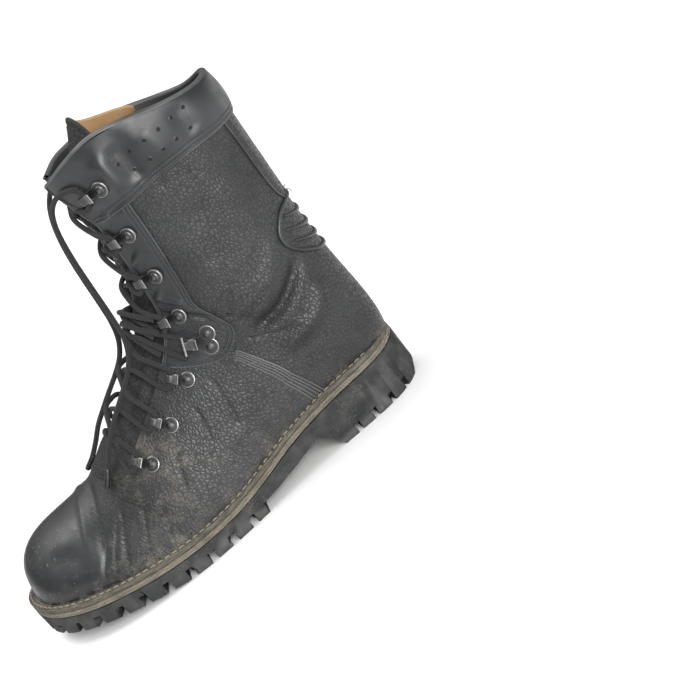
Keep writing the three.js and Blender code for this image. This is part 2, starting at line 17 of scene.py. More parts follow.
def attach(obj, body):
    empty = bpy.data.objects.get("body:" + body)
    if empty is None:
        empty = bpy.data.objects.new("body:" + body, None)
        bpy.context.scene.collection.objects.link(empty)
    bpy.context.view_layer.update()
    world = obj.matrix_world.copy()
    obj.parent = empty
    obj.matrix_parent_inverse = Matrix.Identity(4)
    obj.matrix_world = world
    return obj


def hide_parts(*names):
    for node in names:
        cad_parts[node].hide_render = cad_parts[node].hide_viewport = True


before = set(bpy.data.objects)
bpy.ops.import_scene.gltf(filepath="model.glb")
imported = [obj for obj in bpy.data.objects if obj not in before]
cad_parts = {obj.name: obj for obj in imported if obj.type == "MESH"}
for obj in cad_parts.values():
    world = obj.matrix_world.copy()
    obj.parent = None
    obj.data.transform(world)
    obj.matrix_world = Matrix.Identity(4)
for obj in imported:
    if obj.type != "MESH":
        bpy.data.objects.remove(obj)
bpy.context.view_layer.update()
MM = 0.001

# %% [markdown]
# ## Camera
# The boot is seen from its outer side and a little from above. A camera is aimed by walking
# back from a target point along a direction given by two angles, and rolled about its own
# axis afterwards, so the upright boot leans in the picture as if it had been picked up.

# %% Aim and roll the camera
VIEW = {
    "azimuth": math.radians(-0.445),
    "elevation": math.radians(20.75),
    "roll": math.radians(38),
    "distance": 0.973,
    "target": Vector((0.1222, 0.0018, 0.0354)),
    "lens": 72.9,
}


def add_camera(view):
    level = math.cos(view["elevation"])
    back = Vector((
        math.sin(view["azimuth"]) * level,
        -math.cos(view["azimuth"]) * level,
        math.sin(view["elevation"]),
    ))
    data = bpy.data.cameras.new("camera")
    data.lens = view["lens"]
    camera = bpy.data.objects.new("camera", data)
    bpy.context.scene.collection.objects.link(camera)
    camera.location = view["target"] + back * view["distance"]
    camera.rotation_mode = "QUATERNION"
    aimed = (-back).to_track_quat("-Z", "Y")
    camera.rotation_quaternion = aimed @ Quaternion((0, 0, 1), -view["roll"])
    return camera


bpy.context.scene.camera = add_camera(VIEW)
print("camera at", [round(v, 3) for v in bpy.context.scene.camera.location])

# %% [markdown]
# ## Making meshes
# All shapes are worked out with numpy in millimetres, on the boot's own axes with the heel's
# centre line at y = 0, and are moved to the frame's origin and to metres in one place, when
# the mesh is made. Vertices that meet are welded, so that a tube or a wrapped sheet is one
# closed skin and shades smoothly.

# %% Mesh helpers
FOOTPRINT_MIDDLE = np.array([2.1, -1.8, 0.0])


def to_frame(points):
    return (np.asarray(points, float) - FOOTPRINT_MIDDLE) * MM


def add_mesh(name, points, faces, material, uv=None, weld=0.01, masks=None, keep_flat=None):
    mesh = bpy.data.meshes.new(name)
    mesh.from_pydata(to_frame(points).tolist(), [], [tuple(map(int, f)) for f in faces])
    if uv is not None:
        loops = np.zeros(len(mesh.loops), np.int32)
        mesh.loops.foreach_get("vertex_index", loops)
        layer = mesh.uv_layers.new(name="UVMap")
        layer.data.foreach_set("uv", np.asarray(uv, np.float32)[loops].ravel())
    for mask, values in (masks or {}).items():
        attribute = mesh.attributes.new(mask, "FLOAT", "POINT")
        attribute.data.foreach_set("value", np.asarray(values, np.float32).ravel())
    if weld:
        shape = bmesh.new()
        shape.from_mesh(mesh)
        bmesh.ops.remove_doubles(shape, verts=shape.verts, dist=weld * MM)
        bmesh.ops.dissolve_degenerate(shape, edges=shape.edges, dist=weld * MM / 4)
        shape.to_mesh(mesh)
        shape.free()
    mesh.shade_smooth()
    if keep_flat is not None:
        mesh.set_sharp_from_angle(angle=math.radians(keep_flat))
    mesh.materials.append(material)
    piece = bpy.data.objects.new(name, mesh)
    bpy.context.scene.collection.objects.link(piece)
    return piece


def settle(piece, slot, *nodes):
    """The piece rides on the boot and stands for CAD nodes, which it hides. The slot is not used."""
    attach(piece, "root")
    if nodes:
        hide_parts(*nodes)
    piece.data.calc_loop_triangles()
    print(f"{piece.name}: {len(piece.data.loop_triangles)} triangles")
    return piece


def grid_faces(rows, columns, closed=False, start=0):
    """Faces of a grid of rows x columns points; outwards is along rows x along columns."""
    i, j = np.meshgrid(np.arange(rows - 1), np.arange(columns - (not closed)), indexing="ij")
    a = start + i * columns + j
    b = start + i * columns + (j + 1) % columns
    return np.stack([a, a + columns, b + columns, b], -1).reshape(-1, 4)


def run_along(line):
    """Distance of each point of a line from its start."""
    return np.concatenate([[0], np.cumsum(np.linalg.norm(np.diff(line, axis=0), axis=1))])


def runs_along(lines):
    """The same for several lines of equal count."""
    steps = np.linalg.norm(np.diff(lines, axis=1), axis=2)
    return np.concatenate([np.zeros((len(lines), 1)), np.cumsum(steps, 1)], 1)


def smooth_line(points, count, closed=False):
    """count points spaced evenly along a Catmull-Rom curve through the given points."""
    p = np.asarray(points, float)
    if closed:
        p = np.vstack([p[-1], p, p[0], p[1]])
    else:
        p = np.vstack([2 * p[0] - p[1], p, 2 * p[-1] - p[-2]])
    f = np.linspace(0, 1, 24, endpoint=False)[:, None]
    spans = []
    for a, b, c, d in zip(p[:-3], p[1:-2], p[2:-1], p[3:]):
        spans.append(0.5 * (
            2 * b + (c - a) * f + (2 * a - 5 * b + 4 * c - d) * f ** 2
            + (3 * b - a - 3 * c + d) * f ** 3
        ))
    line = np.vstack([*spans, p[-2][None]])
    along = run_along(line)
    at = np.linspace(0, along[-1], count)
    return np.stack([np.interp(at, along, line[:, k]) for k in range(p.shape[1])], 1)


def length_of(line):
    return float(np.linalg.norm(np.diff(line, axis=0), axis=1).sum())


def tube(line, radius, sides=10, capped=True):
    """Points, faces and UV of a round tube along a line; the UV counts millimetres."""
    line = np.asarray(line, float)
    along = np.gradient(line, axis=0)
    along /= np.linalg.norm(along, axis=1)[:, None]
    side = np.cross(along[0], [0.31, 0.42, 0.85])
    rings = []
    turn = np.linspace(0, 2 * np.pi, sides, endpoint=False)
    radius = np.broadcast_to(radius, len(line))
    for point, tangent, r in zip(line, along, radius):
        side = side - tangent * side.dot(tangent)
        side /= np.linalg.norm(side)
        other = np.cross(tangent, side)
        rings.append(point + r * (np.cos(turn)[:, None] * side + np.sin(turn)[:, None] * other))
    points = np.vstack(rings)
    faces = [tuple(f[::-1]) for f in grid_faces(len(line), sides, closed=True)]
    if capped:
        faces.append(tuple(range(sides))[::-1])
        faces.append(tuple(range(len(points) - sides, len(points))))
    steps = run_along(line)
    uv = np.stack([np.tile(turn / (2 * np.pi), len(line)), np.repeat(steps, sides)], 1)
    return points, faces, uv


def joined(parts):
    """Several (points, faces) as one."""
    points, faces, start = [], [], 0
    for p, f in parts:
        points.append(p)
        faces += [tuple(int(v) + start for v in face) for face in f]
        start += len(p)
    return np.vstack(points), faces


print("mesh helpers ready")

# %% [markdown]
# ## Node groups for the finishes
# Dirt, grain and wear come back on leather, rubber, metal and cord, each time with other
# strengths. A shader node group is the tool for that: it is wired once, its sockets are named,
# and each material places it with its own values. The groups only hand out masks, colours and
# heights; the Principled shader stays in each material.

# %% Group helpers
def new_group(name, inputs, outputs):
    group = bpy.data.node_groups.new(name, "ShaderNodeTree")
    for label, kind, value in inputs:
        socket = group.interface.new_socket(label, in_out="INPUT", socket_type=kind)
        if value is not None:
            socket.default_value = value
    for label, kind in outputs:
        group.interface.new_socket(label, in_out="OUTPUT", socket_type=kind)
    return group, group.nodes.new("NodeGroupInput"), group.nodes.new("NodeGroupOutput")


def feed(tree, sockets, values):
    """Sets each socket to its value, or links it where that is another socket."""
    for socket, value in zip(sockets, values):
        if isinstance(value, bpy.types.NodeSocket):
            tree.links.new(value, socket)
        else:
            socket.default_value = value


def node(tree, kind, inputs=None, **settings):
    """A node with its settings and its inputs, each by name or number."""
    made = tree.nodes.new(kind)
    for key, value in settings.items():
        setattr(made, key, value)
    given = inputs or {}
    feed(tree, [made.inputs[key] for key in given], given.values())
    return made


def math_of(tree, operation, *values):
    """A math node over numbers and sockets."""
    made = node(tree, "ShaderNodeMath", operation=operation)
    feed(tree, made.inputs, values)
    return made.outputs[0]


def times(tree, first, second):
    return math_of(tree, "MULTIPLY", first, second)


def plus(tree, first, second):
    return math_of(tree, "ADD", first, second)


def noise_over(tree, place, scale, detail):
    inputs = {"Vector": place, "Scale": scale, "Detail": detail}
    return node(tree, "ShaderNodeTexNoise", inputs)


def remap(tree, value, low, high, to_low=0.0, to_high=1.0):
    """A smooth step of a value from low..high to to_low..to_high."""
    made = node(tree, "ShaderNodeMapRange", {
        "Value": value, "From Min": low, "From Max": high, "To Min": to_low, "To Max": to_high,
    }, interpolation_type="SMOOTHSTEP")
    return made.outputs["Result"]


def blend(tree, factor, first, second):
    """The first colour where the factor is 0, the second where it is 1."""
    made = node(tree, "ShaderNodeMix", {0: factor, 6: first, 7: second}, data_type="RGBA")
    return made.outputs[2]


FLOAT = "NodeSocketFloat"
COLOUR = "NodeSocketColor"


def place_group(tree, group, **values):
    return node(tree, "ShaderNodeGroup", {k.replace("_", " "): v for k, v in values.items()},
                node_tree=group)


print("group helpers ready")

# %% [markdown]
# ### Pebbled leather grain
# Tumbled leather has a skin of small uneven cushions between fine valleys. A Voronoi texture's
# distance to its cell borders gives exactly that: high in the middle of a cell, low along the
# border. The space is bent a little by noise first, so that the cells don't look drawn, and a
# fine noise adds the pores. Pores and cushions are put out as one height in 0 to 1.

# %% The grain group
def make_grain():
    group, given, out = new_group(
        "leather grain",
        [("Pebble Size", FLOAT, 1.6), ("Pebble", FLOAT, 1.0), ("Pore", FLOAT, 0.3),
         ("Stretch", FLOAT, 0.0)],
        [("Height", FLOAT), ("Valley", FLOAT)],
    )
    place = node(group, "ShaderNodeTexCoord").outputs["Object"]
    bend = noise_over(group, place, 260.0, 1.0)
    shift = node(group, "ShaderNodeVectorMath", {0: bend.outputs["Color"], 1: (0.5, 0.5, 0.5)},
                 operation="SUBTRACT")
    small = node(group, "ShaderNodeVectorMath", {0: shift.outputs[0], "Scale": 0.0016},
                 operation="SCALE")
    bent = node(group, "ShaderNodeVectorMath", {0: place, 1: small.outputs[0]})
    squeeze = plus(group, 1.0, given.outputs["Stretch"])
    axes = node(group, "ShaderNodeCombineXYZ", {"X": 1.0, "Y": 1.0, "Z": squeeze})
    drawn = node(group, "ShaderNodeVectorMath", {0: bent.outputs[0], 1: axes.outputs[0]},
                 operation="DIVIDE")
    scale = math_of(group, "DIVIDE", 1000.0, given.outputs["Pebble Size"])
    cells = node(group, "ShaderNodeTexVoronoi", {"Vector": drawn.outputs[0], "Scale": scale},
                 feature="DISTANCE_TO_EDGE")
    cushion = remap(group, cells.outputs["Distance"], 0.0, 0.32)
    pores = noise_over(group, place, 2100.0, 2.0)
    pebble = times(group, cushion, given.outputs["Pebble"])
    pore = times(group, pores.outputs["Fac"], given.outputs["Pore"])
    group.links.new(plus(group, pebble, pore), out.inputs["Height"])
    # Valley: the borders between cushions, which the leather darkens as painted shade and makes
    # rougher
    valley = math_of(group, "SUBTRACT", 1.0, remap(group, cells.outputs["Distance"], 0.0, 0.24))
    group.links.new(times(group, valley, given.outputs["Pebble"]), out.inputs["Valley"])
    return group


GRAIN = make_grain()
print("group:", GRAIN.name)

# %% [markdown]
# ### Fine creases
# Where leather bends it breaks into fine creases that run across the bend. They are made from
# a noise pulled out along the surface's own coordinates (its UV counts millimetres), folded
# about its middle value so that thin lines are left; the leather bumps them in and darkens
# them as painted shade in the crease.

# %% The crease group
def make_creases():
    group, given, out = new_group(
        "fine creases",
        [("Length", FLOAT, 9.0), ("Spacing", FLOAT, 1.8), ("Amount", FLOAT, 1.0)],
        [("Height", FLOAT), ("Line", FLOAT)],
    )
    uv = node(group, "ShaderNodeUVMap", uv_map="UVMap").outputs["UV"]
    across = math_of(group, "DIVIDE", 1.0, given.outputs["Spacing"])
    along = math_of(group, "DIVIDE", 1.0, given.outputs["Length"])
    axes = node(group, "ShaderNodeCombineXYZ", {"X": across, "Y": along, "Z": 1.0})
    pulled = node(group, "ShaderNodeVectorMath", {0: uv, 1: axes.outputs[0]},
                  operation="MULTIPLY")
    noise = node(group, "ShaderNodeTexNoise", {"Vector": pulled.outputs[0], "Scale": 1.0,
                                               "Detail": 2.5, "Distortion": 0.5})
    folded = math_of(group, "ABSOLUTE", math_of(group, "SUBTRACT", noise.outputs["Fac"], 0.5))
    line = math_of(group, "SUBTRACT", 1.0, remap(group, folded, 0.0, 0.07))
    strength = times(group, line, given.outputs["Amount"])
    group.links.new(times(group, strength, -1.0), out.inputs["Height"])
    group.links.new(strength, out.inputs["Line"])
    return group


CREASES = make_creases()
print("group:", CREASES.name)

# %% [markdown]
# ### Dust and dried mud
# Mud dries in patches with a soft edge and keeps to the low places; dust lies as a thin veil.
# The mask mixes a broad noise (where the patches are) with a fine one (their crumbly edge),
# and is pushed by a value painted on the vertices, by the height above the welt, or both.

# %% The dust group
def make_dust():
    group, given, out = new_group(
        "dust and mud",
        [("Amount", FLOAT, 0.5), ("Patch Size", FLOAT, 18.0), ("Crumb", FLOAT, 0.5)],
        [("Mask", FLOAT), ("Height", FLOAT), ("Colour", COLOUR)],
    )
    place = node(group, "ShaderNodeTexCoord").outputs["Object"]
    broad_scale = math_of(group, "DIVIDE", 1000.0, given.outputs["Patch Size"])
    broad = noise_over(group, place, broad_scale, 3.0)
    fine = noise_over(group, place, 900.0, 3.0)
    centred = math_of(group, "SUBTRACT", fine.outputs["Fac"], 0.5)
    crumbs = times(group, centred, given.outputs["Crumb"])
    rough = plus(group, broad.outputs["Fac"], crumbs)
    level = plus(group, rough, given.outputs["Amount"])
    mask = remap(group, level, 0.74, 1.20)
    group.links.new(mask, out.inputs["Mask"])
    group.links.new(times(group, mask, fine.outputs["Fac"]), out.inputs["Height"])
    tint = noise_over(group, place, 60.0, 2.0)
    colour = blend(group, remap(group, tint.outputs["Fac"], 0.35, 0.65),
                   (0.085, 0.075, 0.058, 1), (0.170, 0.153, 0.122, 1))
    group.links.new(colour, out.inputs["Colour"])
    return group


DUST = make_dust()
print("group:", DUST.name)

# %% [markdown]
# ### Scuffs
# Knocks leave short pale scratches and small chalky specks on a dark surface. Scratches are
# thin slices of a stretched noise, specks are the cores of a sparse Voronoi pattern; both are
# let through only where a broad noise says that the boot was knocked.

# %% The scuff group
def make_scuffs():
    group, given, out = new_group(
        "scuffs",
        [("Amount", FLOAT, 0.5), ("Direction", "NodeSocketVector", (1.0, 1.0, 5.0))],
        [("Mask", FLOAT)],
    )
    place = node(group, "ShaderNodeTexCoord").outputs["Object"]
    pulled = node(group, "ShaderNodeVectorMath", {0: place, 1: given.outputs["Direction"]},
                  operation="MULTIPLY")
    scratch = node(group, "ShaderNodeTexNoise", {"Vector": pulled.outputs[0], "Scale": 190.0,
                                                 "Detail": 5.0, "Roughness": 0.65})
    lines = remap(group, scratch.outputs["Fac"], 0.64, 0.74)
    specks = node(group, "ShaderNodeTexVoronoi", {"Vector": place, "Scale": 330.0})
    dots = math_of(group, "SUBTRACT", 1.0, remap(group, specks.outputs["Distance"], 0.08, 0.26))
    broad = noise_over(group, place, 55.0, 3.0)
    where = remap(group, plus(group, broad.outputs["Fac"], given.outputs["Amount"]), 0.95, 1.25)
    marks = math_of(group, "MAXIMUM", lines, dots)
    group.links.new(times(group, marks, where), out.inputs["Mask"])
    return group


SCUFFS = make_scuffs()
print("group:", SCUFFS.name)

# %% [markdown]
# ## Materials
# Each material below is one finish of the real boot. The leathers share one function, because
# they are the same hide with another grain, gloss and share of dirt. Vertex masks made with
# the panels steer them: "grain" (how pebbled), "mud", "scuff" and "crease".

# %% Material helpers
def new_material(name):
    material = bpy.data.materials.new(name)
    material.use_nodes = True
    tree = material.node_tree
    return material, tree, tree.nodes["Principled BSDF"]


def mask_of(tree, name):
    return node(tree, "ShaderNodeAttribute", attribute_name=name).outputs["Fac"]


def bump(tree, shader, height, distance, strength=1.0):
    """Turns a height in 0..1 into a normal; distance is that height in metres."""
    made = node(tree, "ShaderNodeBump", {"Height": height, "Distance": distance,
                                         "Strength": strength})
    tree.links.new(made.outputs["Normal"], shader.inputs["Normal"])


def leather(name, dark, pale, pebble_size=1.6, pebble=1.0, gloss=0.4, dust=0.05):
    """Black hide: grain and creases from the masks, paler where the grain is rubbed.
    Pebble valleys and crease lines are darkened as painted shade.
    """
    material, tree, shader = new_material(name)
    grain = place_group(tree, GRAIN, Pebble_Size=pebble_size, Pore=0.05, Stretch=0.25,
                        Pebble=times(tree, mask_of(tree, "grain"), pebble))
    creases = place_group(tree, CREASES, Amount=mask_of(tree, "crease"))
    mud = place_group(tree, DUST, Patch_Size=9.0, Crumb=1.0,
                      Amount=plus(tree, mask_of(tree, "mud"), dust))
    scuffs = place_group(tree, SCUFFS, Amount=mask_of(tree, "scuff"))
    place = node(tree, "ShaderNodeTexCoord").outputs["Object"]
    cloud = noise_over(tree, place, 24.0, 4.0)
    hide = blend(tree, remap(tree, cloud.outputs["Fac"], 0.3, 0.7), dark, pale)
    # painted shade: the pebble valleys and crease lines are darkened towards near-black in the base
    # colour; the same mask also makes them rougher
    low = math_of(tree, "MAXIMUM", grain.outputs["Valley"], creases.outputs["Line"])
    hide = blend(tree, times(tree, low, 0.7), hide, (0.0022, 0.0022, 0.0026, 1))
    veil = times(tree, mud.outputs["Mask"], 0.6)
    hide = blend(tree, veil, hide, mud.outputs["Colour"])
    hide = blend(tree, times(tree, scuffs.outputs["Mask"], 0.6), hide, (0.23, 0.23, 0.225, 1))
    tree.links.new(hide, shader.inputs["Base Color"])
    smear = noise_over(tree, place, 120.0, 3.0)
    dull = plus(tree, times(tree, low, 0.72), times(tree, mud.outputs["Mask"], 0.7))
    rubbed = remap(tree, smear.outputs["Fac"], 0.25, 0.75, 0.0, 0.12)
    rough = plus(tree, gloss, plus(tree, rubbed, times(tree, dull, 0.45)))
    tree.links.new(math_of(tree, "MINIMUM", rough, 0.95), shader.inputs["Roughness"])
    shader.inputs["Specular IOR Level"].default_value = 0.55
    folds = times(tree, creases.outputs["Height"], 2.2)
    height = plus(tree, grain.outputs["Height"], folds)
    height = plus(tree, height, times(tree, mud.outputs["Height"], 0.6))
    bump(tree, shader, height, 0.00013)
    return material


BLACK = (0.0055, 0.0060, 0.0070, 1)
WORN_BLACK = (0.020, 0.021, 0.022, 1)
SHELL_LEATHER = leather("pebbled leather", BLACK, WORN_BLACK, 2.4, 1.0, 0.33)
SMOOTH_LEATHER = leather("smooth leather", (0.0060, 0.0066, 0.0076, 1),
                         (0.020, 0.021, 0.023, 1), 1.1, 0.5, 0.34, 0.03)
TONGUE_LEATHER = leather("tongue leather", (0.0045, 0.0045, 0.0050, 1),
                         (0.014, 0.014, 0.015, 1), 2.1, 1.0, 0.42, 0.06)
# pale edge leather: partly worn grey, partly a painted highlight along cut edges and rims
EDGE_WEAR_AND_HIGHLIGHT = leather("worn edge leather and painted highlight", (0.020, 0.021, 0.022, 1), (0.085, 0.087, 0.088, 1),
                       1.0, 0.3, 0.42, 0.05)


# %% [markdown]
# ## The lace's two free ends
# A lace of 3.6 mm leaves the top hook on each side, hangs down in front of the shaft under its
# own weight and comes to rest along the instep. A cord is best made first, because where it
# lies decides how much room the model takes. Each route is a short list of given points,
# with a smooth curve through them, and ends in a hard tip.

# %% Routes of the free ends
LACE = 3.6
LATERAL_END = [
    [53.5, -37, 240.8], [49, -35, 243.6], [43, -30.5, 244.4], [36.5, -25, 242.5],
    [30.5, -20, 237], [26, -16.5, 228], [22.8, -14.2, 216], [20.4, -13, 202],
    [18.6, -12.4, 187], [17, -12.2, 172], [15.4, -12.4, 157.5], [13, -13, 143.5],
    [7.6, -13.8, 132.5], [0, -15, 124.2], [-9.6, -16.6, 117.2], [-19.8, -18.4, 110.4],
    [-30.5, -20.8, 102.8], [-41, -23.4, 93.8], [-50, -26, 84], [-56.4, -28.2, 76.6],
]
MEDIAL_END = [
    [53.5, 38, 240.8], [49, 36, 243.8], [42.5, 31, 244.6], [35, 24.5, 242],
    [28.5, 18.5, 235.5], [23.6, 13.5, 226], [20, 9.5, 213.5], [17.4, 6.8, 199],
    [15.6, 5, 184], [14, 4, 169], [12, 3.6, 154.5], [8, 3.6, 141.5], [1, 4, 131.4],
    [-8.5, 4.6, 123.8], [-19, 5.4, 117], [-30, 6.4, 109.6], [-40.5, 7.8, 102],
    [-50, 9.6, 93], [-59.5, 11.6, 85], [-66, 13.4, 80.8],
]


def make_braid():
    """The weave of a round braided lace: two families of strands crossing on a slant.
    Its gaps are given out as a mask for painted shade.
    """
    group, given, out = new_group(
        "braid", [("Strands", FLOAT, 8.0), ("Pitch", FLOAT, 2.4)],
        [("Height", FLOAT), ("Gap Shade", FLOAT)],
    )
    uv = node(group, "ShaderNodeUVMap", uv_map="UVMap").outputs["UV"]
    parts = node(group, "ShaderNodeSeparateXYZ", {"Vector": uv})
    around = times(group, parts.outputs["X"], given.outputs["Strands"])
    along = math_of(group, "DIVIDE", parts.outputs["Y"], given.outputs["Pitch"])
    waves = []
    for operation in ("ADD", "SUBTRACT"):
        slant = times(group, math_of(group, operation, along, around), math.pi)
        waves.append(math_of(group, "ABSOLUTE", math_of(group, "SINE", slant)))
    height = times(group, waves[0], waves[1])
    group.links.new(height, out.inputs["Height"])
    group.links.new(math_of(group, "SUBTRACT", 1.0, remap(group, height, 0.0, 0.4)),
                    out.inputs["Gap Shade"])
    return group


BRAID = make_braid()


def lace_cord():
    """Black polyester braid, greyed by dust, with painted shade in the gaps of the braid."""
    material, tree, shader = new_material("lace cord")
    braid = place_group(tree, BRAID)
    mud = place_group(tree, DUST, Amount=0.10, Patch_Size=22.0, Crumb=0.8)
    # painted shade: the gaps between the braid's strands are coloured darker
    colour = blend(tree, braid.outputs["Gap Shade"], (0.012, 0.012, 0.013, 1), (0.002, 0.002, 0.002, 1))
    veil = times(tree, mud.outputs["Mask"], 0.35)
    colour = blend(tree, veil, colour, mud.outputs["Colour"])
    tree.links.new(colour, shader.inputs["Base Color"])
    shader.inputs["Roughness"].default_value = 0.82
    shader.inputs["Sheen Weight"].default_value = 0.05
    bump(tree, shader, braid.outputs["Height"], 0.0004)
    return material


def lace_tip():
    """A hard black tip, rubbed along its edges."""
    material, tree, shader = new_material("lace tip")
    scuffs = place_group(tree, SCUFFS, Amount=0.45)
    colour = blend(tree, scuffs.outputs["Mask"], (0.012, 0.012, 0.013, 1), (0.09, 0.09, 0.09, 1))
    tree.links.new(colour, shader.inputs["Base Color"])
    shader.inputs["Roughness"].default_value = 0.35
    return material


LACE_CORD = lace_cord()
LACE_TIP = lace_tip()


def free_end(name, route):
    line = smooth_line(route, 150)
    points, faces, uv = tube(line, LACE / 2, 12)
    piece = add_mesh(name, points, faces, LACE_CORD, uv, weld=0)
    way = line[-1] - line[-4]
    way /= np.linalg.norm(way)
    reach = np.array([-11.0, -10.6, -9.6, 0.6, 1.3, 1.5])
    wide = np.array([1.86, 2.02, 2.02, 1.95, 1.5, 0.6])
    points, faces, _ = tube(line[-1] + reach[:, None] * way, wide, 14)
    tip = add_mesh(name + "_tip", points, faces, LACE_TIP, weld=0)
    settle(tip, "lace_cord")
    settle(piece, "lace_cord", name)
    print(f"{name} is {length_of(line):.0f} mm long")
    return piece


free_end("lace_end_lateral", LATERAL_END)
free_end("lace_end_medial", MEDIAL_END)

# %% [markdown]
# ## The last: the form of the boot
# A shoemaker's last is known by its cross-sections. Here they fan out from the toe, round the
# ankle and up the shaft, and each row says where the section's front and back lie, how wide it
# is on either side and how round its two halves are. A smooth spline through the rows gives a
# surface with two coordinates: a place along the boot, and an angle round it. The angle is 0
# on the front ridge and half a turn at the back; negative angles are the outer side. Leather,
# seams, hooks and creases are all laid out in these two coordinates, as on a paper pattern.

# %% Sections of the boot
SECTIONS = np.array([
    # front x, z;  back x, z;  half-widths out, in;  widest;  roundness front, back;  shift
    [-145, 26, -143, 14, 4, 4, 0.5, 2, 2, 6, 6],
    [-148, 37, -146, 10, 14, 14, 0.55, 2, 2.4, 6, 6],
    [-145.5, 54, -140, 6, 28, 27, 0.6, 2, 2.6, 6, 6],
    [-134, 66.5, -128, 4, 41, 38, 0.62, 2, 2.8, 6, 5],
    [-115, 72.5, -108, 2, 49, 44, 0.64, 2, 3, 5, 4],
    [-92, 73, -84, -2, 54, 49, 0.66, 2, 3, 4, 2],
    [-68, 76.5, -56, -5, 57, 51, 0.68, 1.9, 3, 3, 0],
    [-46, 91, -26, -8, 56, 48, 0.68, 1.8, 3, 2, -1],
    [-25, 106, 6, -6, 51, 41, 0.66, 1.8, 3, 1, -1],
    [-4, 120, 40, 0, 45, 35, 0.62, 1.8, 3, 0, 0],
    [12, 132, 76, 10, 41, 36, 0.58, 1.8, 2.9, 0, 0],
    [22, 144, 112, 14, 39, 38, 0.54, 1.85, 2.8, 0, 0],
    [28, 156, 142, 18, 39, 39, 0.5, 1.9, 2.6, 0, 0],
    [31, 168, 156.5, 34, 40, 39, 0.48, 2, 2.4, 0, 0],
    [33, 180, 158, 62, 41, 40, 0.47, 2, 2.3, 0, 0],
    [35, 192, 155, 98, 41, 40, 0.48, 2.05, 2.2, 0, 0],
    [36, 206, 154, 134, 42, 41, 0.5, 2.1, 2.2, 0, 0],
    [36, 222, 156, 172, 43, 42, 0.5, 2.1, 2.2, 0, 0],
    [35, 240, 158, 212, 44, 43, 0.5, 2.1, 2.2, 0, 0],
    [34, 258, 160, 250, 45, 44, 0.5, 2.1, 2.2, 0, 0],
    [34, 276, 161, 276, 45, 44, 0.5, 2.1, 2.2, 0, 0],
], float)
LAST_PLACE = len(SECTIONS) - 1
WALL = 3.0


def skin(place, angle):
    """Points of the boot's outer surface, for arrays of places and angles in degrees."""
    place, angle = np.broadcast_arrays(np.asarray(place, float), np.asarray(angle, float))
    angle = np.radians(angle)
    w = np.clip(place, 0, LAST_PLACE - 1e-9)
    i = np.floor(w).astype(int)
    f = (w - i)[..., None]
    rows = np.vstack([2 * SECTIONS[0] - SECTIONS[1], SECTIONS,
                      2 * SECTIONS[-1] - SECTIONS[-2]])
    s = ((1 - f) ** 3 * rows[i] + (3 * f ** 3 - 6 * f ** 2 + 4) * rows[i + 1]
         + (-3 * f ** 3 + 3 * f ** 2 + 3 * f + 1) * rows[i + 2] + f ** 3 * rows[i + 3]) / 6
    xt, zt, xb, zb, outer, inner, widest, front, back, yt, yb = np.moveaxis(s, -1, 0)
    c = np.cos(angle)
    n = np.where(c >= 0, front, back)
    across = np.abs(np.sin(angle)) ** (2 / n)
    along = np.abs(c) ** (2 / n)
    t = np.where(c >= 0, widest * (1 - along), widest + (1 - widest) * along)
    half = np.where(np.sin(angle) < 0, -outer, inner)
    return np.stack([xt + (xb - xt) * t, yt + (yb - yt) * t + half * across,
                     zt + (zb - zt) * t], -1)


def skin_normal(place, angle):
    step = 0.004
    up = skin(np.add(place, step), angle) - skin(np.subtract(place, step), angle)
    turn = np.degrees(step)
    round_it = skin(place, np.add(angle, turn)) - skin(place, np.subtract(angle, turn))
    normal = np.cross(up, round_it)
    return normal / np.maximum(np.linalg.norm(normal, axis=-1, keepdims=True), 1e-12)


def above(place, angle, height):
    return skin(place, angle) + skin_normal(place, angle) * np.asarray(height)[..., None]


def height_through(points):
    """A smooth height over x: cubic pieces with the slope between neighbours."""
    p = np.array(points, float)
    slope = np.array([
        (p[min(i + 1, len(p) - 1), 1] - p[max(i - 1, 0), 1])
        / (p[min(i + 1, len(p) - 1), 0] - p[max(i - 1, 0), 0]) for i in range(len(p))
    ])

    def height(x):
        x = np.clip(np.asarray(x, float), p[0, 0], p[-1, 0])
        i = np.clip(np.searchsorted(p[:, 0], x) - 1, 0, len(p) - 2)
        span = p[i + 1, 0] - p[i, 0]
        f = (x - p[i, 0]) / span
        return ((2 * f ** 3 - 3 * f ** 2 + 1) * p[i, 1] + (f ** 3 - 2 * f ** 2 + f) * span * slope[i]
                + (-2 * f ** 3 + 3 * f ** 2) * p[i + 1, 1] + (f ** 3 - f ** 2) * span * slope[i + 1])

    return height


welt_top = height_through([
    (-158, 37), (-140, 33.6), (-112, 29.2), (-65, 23.6), (-20, 21.5), (15, 24), (60, 33.5),
    (100, 38.5), (158, 39.4),
])
collar_top = height_through([
    (20, 243), (36, 250), (55, 257.5), (78, 262), (100, 258.5), (128, 250.5), (150, 246),
    (166, 246),
])


def smoothstep(value, low, high):
    f = np.clip((np.asarray(value, float) - low) / (high - low), 0, 1)
    return f * f * (3 - 2 * f)


print("girth at the ankle, mm:", round(length_of(skin(13, np.linspace(-180, 180, 361)))))

# %% [markdown]
# ## Creases, folds and dents
# Worn leather is never the clean last. Its folds are laid as lines in pattern
# coordinates: each pushes the leather in (a trough) or out (a ridge) along the line, with a
# soft bell across it and a fade at both ends. Every panel, the lining and the seams read the
# same relief, so that they fold together.

# %% Relief of folds and dents
OUTER = -1
INNER = 1
BOTH = 0
SIDES = {OUTER: "lateral", INNER: "medial"}

